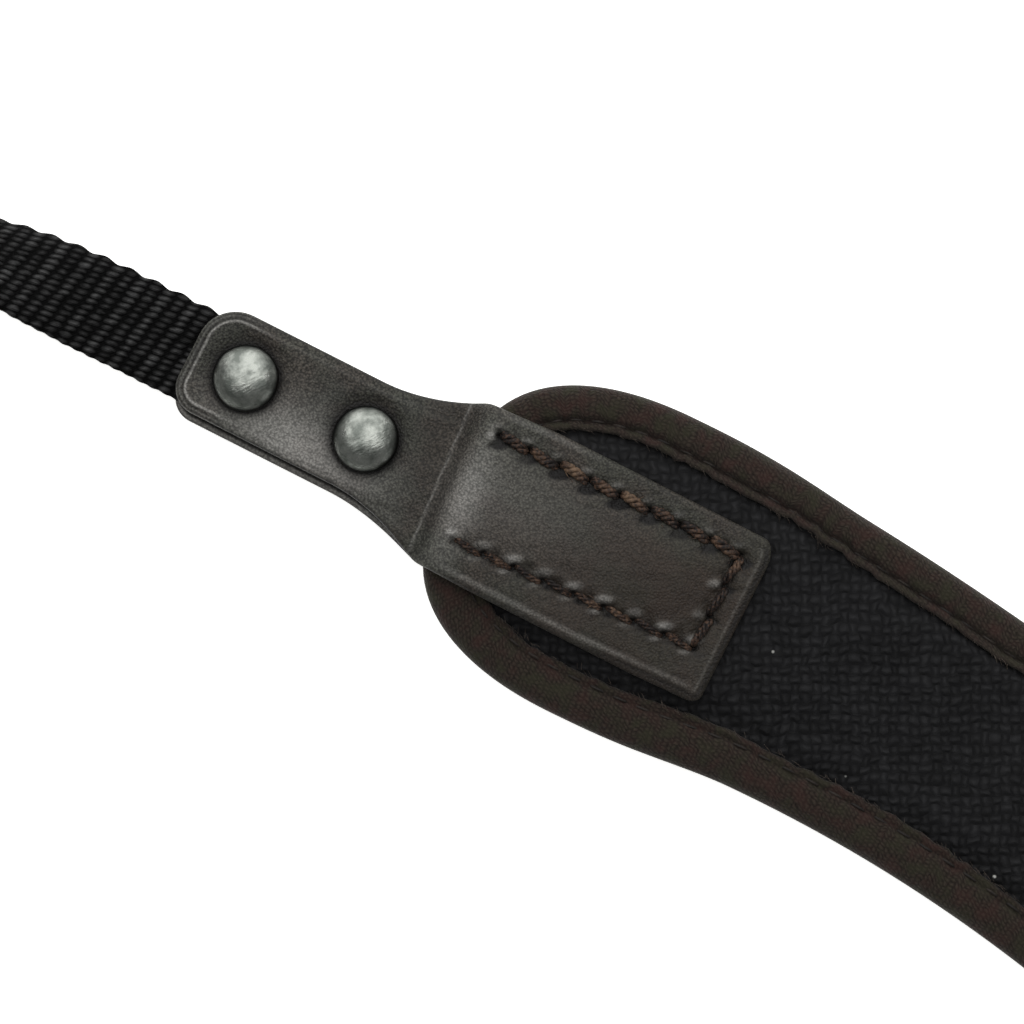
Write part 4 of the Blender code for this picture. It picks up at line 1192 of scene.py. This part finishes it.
def makeSeamThread(isUpper, side, sideName):
    # Three twisted plies in each stitch and a few stray hairs, in rows of along, across, height and the
    # stitch's direction, in mm
    rng = np.random.default_rng(61 if isUpper else 62)
    holes, up = seamHoles(), 1 if isUpper else -1
    share = np.linspace(0, 1, 15)
    strands, hairs = [], []
    bulks = np.repeat(seam["bulk"], seam["stitches"])
    for a, b, bulk in zip(holes, holes[1:], bulks):
        line = (b - a) / np.linalg.norm(b - a)
        beside = np.array([-line[1], line[0]])
        lines = np.broadcast_to(line, (len(share), 2))
        bow, lift = rng.normal(0, 0.10), rng.uniform(0.8, 1.25)
        slack = rng.uniform(0.85, 1.2)
        flat = a + (b - a) * (0.05 + 0.90 * share)[:, None]
        flat = flat + beside * ((2 * share - 1) * seam["slant"] / mm + bow * np.sin(math.pi * share))[:, None]
        arch = np.sin(math.pi * share) ** 0.55
        depth = -seam["sunk"] + (seam["sunk"] + seam["rise"] * lift * bulk) * arch
        reach = seam["twistRadius"] / mm * bulk * (0.55 + 0.45 * arch)
        for ply in range(seam["plies"]):
            turn = math.tau * (ply / seam["plies"] + seam["twists"] * slack * share)
            turn = turn + rng.uniform(-0.15, 0.15)
            strands.append(np.column_stack([flat + beside * (reach * np.cos(turn))[:, None],
                                            depth + reach * seam["flatness"] * np.sin(turn), lines]))
        for hair in range(rng.integers(*seam["hairs"])):
            start = rng.uniform(0.1, 0.6)
            out = np.linspace(0, rng.uniform(*seam["hairLength"]), len(share))
            swing = rng.normal(0, 0.35)
            aside = rng.normal(0, 0.25) + swing * out ** 1.5 + 0.1 * np.sin(4 * out)
            hairs.append(np.column_stack([a + (b - a) * start + line * out[:, None] + beside * aside[:, None],
                                          0.2 + 0.35 * out * np.exp(-out), lines]))
    parts = []
    plyRadii = np.repeat(bulks, seam["plies"])[:, None] * seam["plyRadius"]
    for group, radius, sides in ((strands, plyRadii, 6), (hairs, seam["hairRadius"], 4)):
        along, across, height, lineAlong, lineAcross = np.moveaxis(np.array(group) * mm, -1, 0)
        face = leatherHeights(along, across, np.full(along.shape, 2.6 * mm), isUpper)[1]
        smooth = face.mean(1, keepdims=True) * 0.5 + face * 0.5
        height = smooth + up * height + up * seam["above"]
        if not isUpper:
            height = np.maximum(height, seam["lowest"])
        points = strapPoint(along, across, height)
        sideways = (strapPoint(along - lineAcross, across + lineAlong, height) - points)[:, len(share) // 2]
        parts.append(tubes(points, sideways / np.linalg.norm(sideways, axis=1, keepdims=True), radius, sides))
    points, faces = joinParts(parts)
    name = "upper" if isUpper else "lower"
    addPiece(f"{name}_seam_thread_{sideName}", points, faces, linenThread, side=side)


rivetSizes = {
    "capRadius": 3.5 * mm,
    "capLow": 5.85 * mm,
    "capTop": 7.8 * mm,
    "capRim": 0.3 * mm,  # upright part below the dome
    "domePowers": (2.25, 0.62),
    "backRadius": 3.2 * mm,
    "backHeight": 0.85 * mm,
    "postRadius": 1.2 * mm,
    "shank": ((0.01, 0.18), (0.75, 0.16), (1.0, 0.02), (1.35, 0.02), (1.6, 0.14)),  # mm: radius, height
    "backSide": ((0.80, 0.10), (0.95, 0.25), (1, 0.5)),  # share of the radius, mm up
    "capSide": ((0.90, 0), (0.965, 0.03), (0.995, 0.12), (1, 0.26)),  # share of the radius, mm up
    "darkRim": (0.80, 0.18),  # where the black in the rim starts and over what width, as shares of the radius
    "dents": 0.010 * mm,
    "seeds": {"outer": 72, "inner": 71},
}


def turnedBody(profile, sides):
    # A body turned about the upright axis, from rows of radius and height
    turn = np.arange(sides) / sides * math.tau
    radius, height = (column[:, None] for column in np.array(profile).T)
    points = np.stack([radius * np.cos(turn), radius * np.sin(turn), height + 0 * turn], -1)
    faces = gridFaces(len(profile), sides, closed=True)[:, ::-1].tolist()
    faces.append(list(range(sides))[::-1])
    faces.append([(len(profile) - 1) * sides + k for k in range(sides)])
    return points.reshape(-1, 3), faces


def makeRivet(rivetName, side, sideName):
    size = rivetSizes
    cap, back, low = size["capRadius"], size["backRadius"], size["capLow"]
    profile = [(radius * mm, height * mm) for radius, height in size["shank"]]
    profile += [(share * back, height * mm) for share, height in size["backSide"]]
    profile += [(back, size["backHeight"]), (size["postRadius"], size["backHeight"])]
    profile += [(size["postRadius"], low)]
    profile += [(share * cap, low + rise * mm) for share, rise in size["capSide"]]
    outward, upward = size["domePowers"]
    dome, steps = size["capTop"] - low - size["capRim"], 26
    for k in range(1, steps):
        radius = 0.985 * cap * math.cos(math.pi / 2 * k / steps) ** 0.9
        height = low + size["capRim"] + dome * (1 - (radius / cap) ** outward) ** upward
        profile.append((max(radius, 0.01 * mm), height))
    points, faces = turnedBody(profile, 72)
    x, y, z = points.T
    radius, isCap = np.hypot(x, y), z > low
    dents = isCap * size["dents"] * waves(x, y, 1.7 * mm, size["seeds"][rivetName]) * (radius < 0.93 * cap)
    dark = np.where(isCap, fade(radius / cap, *size["darkRim"]), 0.35 + 0.4 * (radius < 1.1 * mm))
    points = points + strapPoint(rivetPlaces[rivetName], 0, dents)
    addPiece(f"{rivetName}_rivet_cap_{sideName}", points, faces, nickel,
             [f"{rivetName}_rivet_{sideName}"], {"rivetDark": np.column_stack([dark] * 3)}, side)


# Webbing, slider and eye

webSizes = {
    "width": 10 * mm,
    "thickness": 1.3 * mm,
    "flesh": 1.02 * mm,  # thickness below the raised floats
    "floatRise": 0.2 * mm,
    "scallop": 0.31 * mm,  # of the outer edge, where the weft turns
    "edgeShift": (-0.14 * mm, 0.08 * mm),  # of the outer and the neck edge, from half the width
    "pastRivet": 4.5 * mm,
    "tabMid": 3.35 * mm,
    "rollLength": 47 * mm,
    "rollTurn": math.radians(9),
    "rollPower": 1.5,
    "rollDelay": 1.35,  # the webbing leaves the leather almost flat
    "bendRadius": 85 * mm,
    "bendPeak": 0.5,
    "tail": 24 * mm,
    "eyeLength": 22 * mm,
    "eyeHeight": 6.2 * mm,
    "gap": 0.3 * mm,
    "stations": ((0, 0.75), (23, 0.25), (66, 0.6)),  # mm along and steps from there on, closest by the tab
}
sliderSizes = {
    "thickness": 2.0 * mm,
    "bar": 2.2 * mm,
    "middleBar": 2.6 * mm,
    "rail": 2.2 * mm,
    "slot": 4.5 * mm,
    "slotHalfWidth": 5.5 * mm,
    "low": 3.2 * mm,
    "cornerRadius": 1.9 * mm,
    "slotCorner": 0.6 * mm,
    "edgeRound": 0.5 * mm,
    "crown": 0.12 * mm,
}
sliderLength = sliderSizes["middleBar"] + 2 * sliderSizes["slot"] + 2 * sliderSizes["bar"]


def threadedPath():
    # Middle line of the webbing through the slider, round the eye and back, as distance from the slider's
    # middle and height
    thick, gap = webSizes["thickness"], webSizes["gap"]
    reach = gap + thick / 2 + (thick + gap) / 2
    middleX, middleZ = -sliderSizes["middleBar"] / 2, sliderSizes["low"] + sliderSizes["thickness"]
    endX, endZ = middleX - sliderSizes["slot"], sliderSizes["low"]
    spanX, spanZ = middleX - endX, middleZ - endZ
    slope = math.atan2(spanZ, spanX) + math.asin(2 * reach / math.hypot(spanX, spanZ))
    turns = np.linspace(0, slope, 13)
    guide = [(endX + reach * math.sin(t), endZ - reach * math.cos(t), t) for t in turns]
    guide += [(middleX - reach * math.sin(t), middleZ + reach * math.cos(t), t) for t in turns[::-1]]
    guide += [(-x, z, -t) for x, z, t in reversed(guide)]
    layer, floorLine = (thick + gap) / 2, thick / 2
    under, over = ([(x + away * math.sin(t), z - away * math.cos(t)) for x, z, t in guide]
                   for away in (layer, -layer))
    eyeRadius = (webSizes["eyeHeight"] + thick) / 2
    eyeStart = sliderLength / 2 + gap
    eyeCentre = eyeStart + webSizes["eyeLength"] - eyeRadius
    flat = [(eyeStart + (eyeCentre - eyeStart) * k / 6, floorLine) for k in range(6)]
    eye = [(eyeCentre + eyeRadius * math.sin(t), floorLine + eyeRadius * (1 - math.cos(t)))
           for t in np.linspace(0, math.pi, 25)]
    tailLine = floorLine + 2 * layer
    drop = floorLine + 2 * eyeRadius - tailLine
    back = [(eyeCentre + (eyeStart - eyeCentre) * k / 20, tailLine + drop * float(1 - ease(k / 20)))
            for k in range(1, 21)]
    tail = [(-eyeStart - webSizes["tail"] * k / 8, tailLine) for k in range(9)]
    return np.array(under + flat + eye + back + over[::-1] + tail)


def webbingRoute():
    # Middle points and edge directions of the left webbing, closely spaced
    offset = leatherSizes["tongueOffset"]
    start, tip = strapPoint(webSizes["pastRivet"], offset), strapPoint(leatherSizes["tip"], offset)
    heading = math.pi + endAngle - strapLine["tongueTurn"]
    rest = webSizes["thickness"] / 2
    lift = webSizes["tabMid"] - rest
    places, edges = [], []

    def add(point, way, roll, extra):
        height = webSizes["width"] / 2 * math.sin(roll) + rest * math.cos(roll) + extra
        places.append((point[0], point[1], height))
        edges.append((-math.sin(way) * math.cos(roll), math.cos(way) * math.cos(roll), math.sin(roll)))

    def sweep(point, steps, length, wayAt, rollAt, liftAt):
        for k in range(1, steps + 1):
            way, share = wayAt((k - 0.5) / steps), k / steps
            point = point + np.array([math.cos(way), math.sin(way)]) * length / steps
            add(point, wayAt(share), rollAt(share), liftAt(share))
        return point

    for share in np.linspace(0, 1, 30):
        add(start + (tip - start) * share, heading, 0, lift)
    # rolls onto its edge behind the leather
    rollLength, rollTurn = webSizes["rollLength"], webSizes["rollTurn"]
    point = sweep(np.array(tip[:2]), 120, rollLength,
                  lambda share: heading + rollTurn * share ** webSizes["rollPower"],
                  lambda share: math.pi / 2 * float(ease(share)) ** webSizes["rollDelay"],
                  lambda share: lift * float(1 - ease(1.6 * share)))
    # bends round towards the slider, most in the middle of the bend
    bendStart, peak = heading + rollTurn, webSizes["bendPeak"] / math.tau
    bendTurn = math.tau - bendStart
    point = sweep(point, 300, bendTurn * webSizes["bendRadius"],
                  lambda share: bendStart + bendTurn * (share - peak * math.sin(math.tau * share)),
                  lambda share: math.pi / 2, lambda share: 0)
    # lies down again
    for share in np.linspace(0, 1, 101)[1:]:
        add(point + np.array([rollLength * share, 0]), 0, math.pi / 2 * float(1 - ease(share)), 0)
    low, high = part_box("slider_left")
    sliderX = ((low + high) / 2).x
    path = threadedPath()
    for x in np.linspace(point[0] + rollLength, sliderX + path[0][0], 60)[1:-1]:
        add((x, point[1]), 0, 0, 0)
    for x, z in path:
        places.append((sliderX + x, point[1], z))
        edges.append((0, 1, 0))
    return np.array(places), np.array(edges)


def floatRelief(wale, pick):
    # Height share of the oval floats: the same pattern as in the webbing's material
    across = (wale - np.floor(wale) - 0.5) * 2 / webLook["spot"][0]
    along = (pick - np.floor(pick) - 0.5) * 2 / webLook["spot"][1]
    second = pick / 2 - np.floor(pick / 2) > 0.5
    return ease(spotReach - np.hypot(across, along)) * np.where(second, webLook["dimmer"], 1.0)


def makeStrip(side, sideName):
    places, edges = webbingRoute()
    steps = np.r_[0, np.cumsum(np.linalg.norm(np.diff(places, axis=0), axis=1))]
    length = steps[-1]
    ends = [start for start, step in webSizes["stations"]][1:] + [length / mm]
    stops = [np.arange(start, end, step) * mm for (start, step), end in zip(webSizes["stations"], ends)]
    stops = np.concatenate(stops + [[length]])
    middle, edge = (np.stack([np.interp(stops, steps, column) for column in route.T], -1)
                    for route in (places, edges))
    edge /= np.linalg.norm(edge, axis=1, keepdims=True)
    face = np.cross(np.gradient(middle, axis=0), edge)
    for k in range(3):  # evens out the corners of the route
        face[1:-1] = (face[:-2] + 2 * face[1:-1] + face[2:]) / 4
    face /= np.linalg.norm(face, axis=1, keepdims=True)
    half, thick = webSizes["width"] / 2, webSizes["flesh"] / 2
    turn = math.pi * stops / webLook["pick"]
    bumpy = webSizes["scallop"] * np.sin(turn / 2 + 0.25 * np.sin(turn)) ** 2 + 0.03 * mm * np.cos(2 * turn)
    finer = 0.05 * mm * np.cos(2 * turn) + 0.04 * mm * waves(stops, 0 * stops, 5 * mm, 91)
    outerShift, neckShift = webSizes["edgeShift"]
    outerHalf, neckHalf = half + outerShift + bumpy, half + neckShift + finer
    across = np.linspace(-1, 1, 37)
    levels, marks = [], []
    for up, u in [(1, u) for u in across] + [(-1, u) for u in across[::-1]]:
        reach = np.where(u < 0, outerHalf, neckHalf) * u
        pick = (stops - webLook["lean"] * reach) / webLook["pick"]
        wale = reach / webLook["wale"] - webLook["slant"] * pick
        full = 1 - abs(u) ** 7  # rounds off at the edges
        height = up * (thick * (0.35 + 0.65 * full) + webSizes["floatRise"] * floatRelief(wale, pick) * full)
        levels.append(middle + edge * reach[:, None] + face * height[:, None])
        marks.append(np.column_stack([wale, pick, 0 * stops]))
    points, marks = np.stack(levels, 1), np.stack(marks, 1)
    rows, around = points.shape[:2]
    faces = gridFaces(rows, around, closed=True).tolist()
    faces.append(list(range(around)))
    faces.append([(rows - 1) * around + k for k in range(around)][::-1])
    addPiece(f"woven_webbing_{sideName}", points.reshape(-1, 3), faces, ribbedWebbing,
             [f"webbing_{sideName}"], {"webPlace": marks.reshape(-1, 3)}, side)
    print("webbing made,", round(length / mm), "mm,", len(faces), "faces")


def makeSlider(sideName):
    # A flat outline with two slots, raised and rounded as a curve, then turned into a mesh
    size = sliderSizes
    low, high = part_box(f"slider_{sideName}")
    outline = bpy.data.curves.new(f"slider_outline_{sideName}", "CURVE")
    outline.dimensions, outline.fill_mode = "2D", "BOTH"
    outline.extrude = size["thickness"] / 2 - size["edgeRound"]
    outline.bevel_depth, outline.bevel_resolution, outline.offset = size["edgeRound"], 4, -size["edgeRound"]

    def addRectangle(left, right, halfWidth, corner):
        corners = ((right, halfWidth), (left, halfWidth), (left, -halfWidth), (right, -halfWidth))
        points = []
        for turn, (x, y) in enumerate(corners):
            x, y = x - math.copysign(corner, x - (left + right) / 2), y - math.copysign(corner, y)
            for angle in (math.pi / 2 * (turn + k / 8) for k in range(9)):
                points.append((x + corner * math.cos(angle), y + corner * math.sin(angle), 0, 1))
        spline = outline.splines.new("POLY")
        spline.points.add(len(points) - 1)
        for target, point in zip(spline.points, points):
            target.co = point
        spline.use_cyclic_u = True

    inner, outer = size["middleBar"] / 2, size["middleBar"] / 2 + size["slot"]
    halfWidth = size["slotHalfWidth"] + size["rail"]
    addRectangle(-sliderLength / 2, sliderLength / 2, halfWidth, size["cornerRadius"])
    addRectangle(-outer, -inner, size["slotHalfWidth"], size["slotCorner"])
    addRectangle(inner, outer, size["slotHalfWidth"], size["slotCorner"])
    drawn = bpy.data.objects.new("sliderOutline", outline)
    bpy.context.collection.objects.link(drawn)
    mesh = bpy.data.meshes.new_from_object(drawn.evaluated_get(bpy.context.evaluated_depsgraph_get()))
    points = np.array([v.co for v in mesh.vertices])
    faces = [list(polygon.vertices) for polygon in mesh.polygons]
    bpy.data.objects.remove(drawn, do_unlink=True)
    outwards = np.clip(np.abs(points[:, 1]) / halfWidth, 0, 1)
    points[:, 2] += size["crown"] * np.sign(points[:, 2]) * (1 - outwards ** 2)
    points, faces, unused = weld(points + np.array((low + high) / 2), faces)
    piece = addPiece(f"moulded_slider_{sideName}", points, faces, acetal, [f"slider_{sideName}"])
    piece.data.set_sharp_from_angle(angle=math.radians(35))


makePad()
tapeEdge = padEdge(bindingSizes["step"])
makeBinding(tapeEdge)
makeBindingThread(tapeEdge)
makeFrayedFibres(tapeEdge)
for sideName, side in (("left", 1), ("right", -1)):
    for isUpper in (True, False):
        makeLeatherLayer(isUpper, side, sideName)
        makeSeamThread(isUpper, side, sideName)
    for rivetName in rivetPlaces:
        makeRivet(rivetName, side, sideName)
    makeStrip(side, sideName)
    makeSlider(sideName)
    print(sideName, "end made")


# Studio

studio = {
    "imageWidth": 1024,
    "pixelsPerMetre": 9600,  # of the photograph, at the rivet nearest the pad
    "lens": 150,
    "roll": endAngle - strapLine["tongueTurn"] + math.radians(26.9),
    "aim": (15.25 * mm, -7.6 * mm),  # right and up from that rivet
    "aimHeight": 6 * mm,
    "floor": hexColour("#f6f6f4"),
    "floorGlow": 0.8,
    "floorReach": 6.0,
    "sky": 0.22,
    "softboxes": {  # right, up and high, power, width
        "softboxTop": ((0, 0.74, 0.95), 24, 2.0),
        "softboxSide": ((1.1, -0.7, 0.35), 0.6, 0.35),
    },
}


def makeStudio():
    scene = bpy.context.scene
    scene.view_settings.view_transform = "Standard"
    roll, (aimRight, aimUp) = studio["roll"], studio["aim"]
    right, up = Vector((math.cos(roll), math.sin(roll), 0)), Vector((-math.sin(roll), math.cos(roll), 0))
    target = Vector(strapPoint(0, 0, studio["aimHeight"])) + right * aimRight + up * aimUp
    camera = bpy.data.cameras.new("camera")
    camera.lens, camera.clip_start, camera.clip_end = studio["lens"], 0.01, 20
    distance = studio["imageWidth"] / studio["pixelsPerMetre"] * camera.lens / camera.sensor_width
    holder = bpy.data.objects.new("camera", camera)
    bpy.context.collection.objects.link(holder)
    holder.location = target + Vector((0, 0, distance))
    holder.rotation_euler = (0, 0, roll)
    scene.camera = holder

    world = bpy.data.worlds.new("studioSky")
    world.use_nodes = True
    connect(world.node_tree.nodes["Background"], {"Color": (1, 1, 1, 1), "Strength": studio["sky"]})
    scene.world = world

    for name, ((toRight, toUp, high), power, width) in studio["softboxes"].items():
        light = bpy.data.lights.new(name, "AREA")
        light.shape, light.size, light.energy = "SQUARE", width, power
        lamp = bpy.data.objects.new(name, light)
        bpy.context.collection.objects.link(lamp)
        lamp.location = right * toRight + up * toUp + Vector((0, 0, high))
        lamp.rotation_euler = (-lamp.location).to_track_quat("-Z", "Y").to_euler()

    material, add, shader = newMaterial("paleFloor", {
        "Base Color": studio["floor"], "Roughness": 0.9, "Specular IOR Level": 0.0,
        "Emission Color": studio["floor"], "Emission Strength": studio["floorGlow"]})
    mesh = bpy.data.meshes.new("floor")
    reach = studio["floorReach"]
    corners = [(-reach, -reach, 0), (reach, -reach, 0), (reach, reach, 0), (-reach, reach, 0)]
    mesh.from_pydata(corners, [], [(0, 1, 2, 3)])
    mesh.materials.append(material)
    floor = bpy.data.objects.new("floor", mesh)
    bpy.context.collection.objects.link(floor)
    floor.location.z = -0.1 * mm
    print("studio made")


makeStudio()
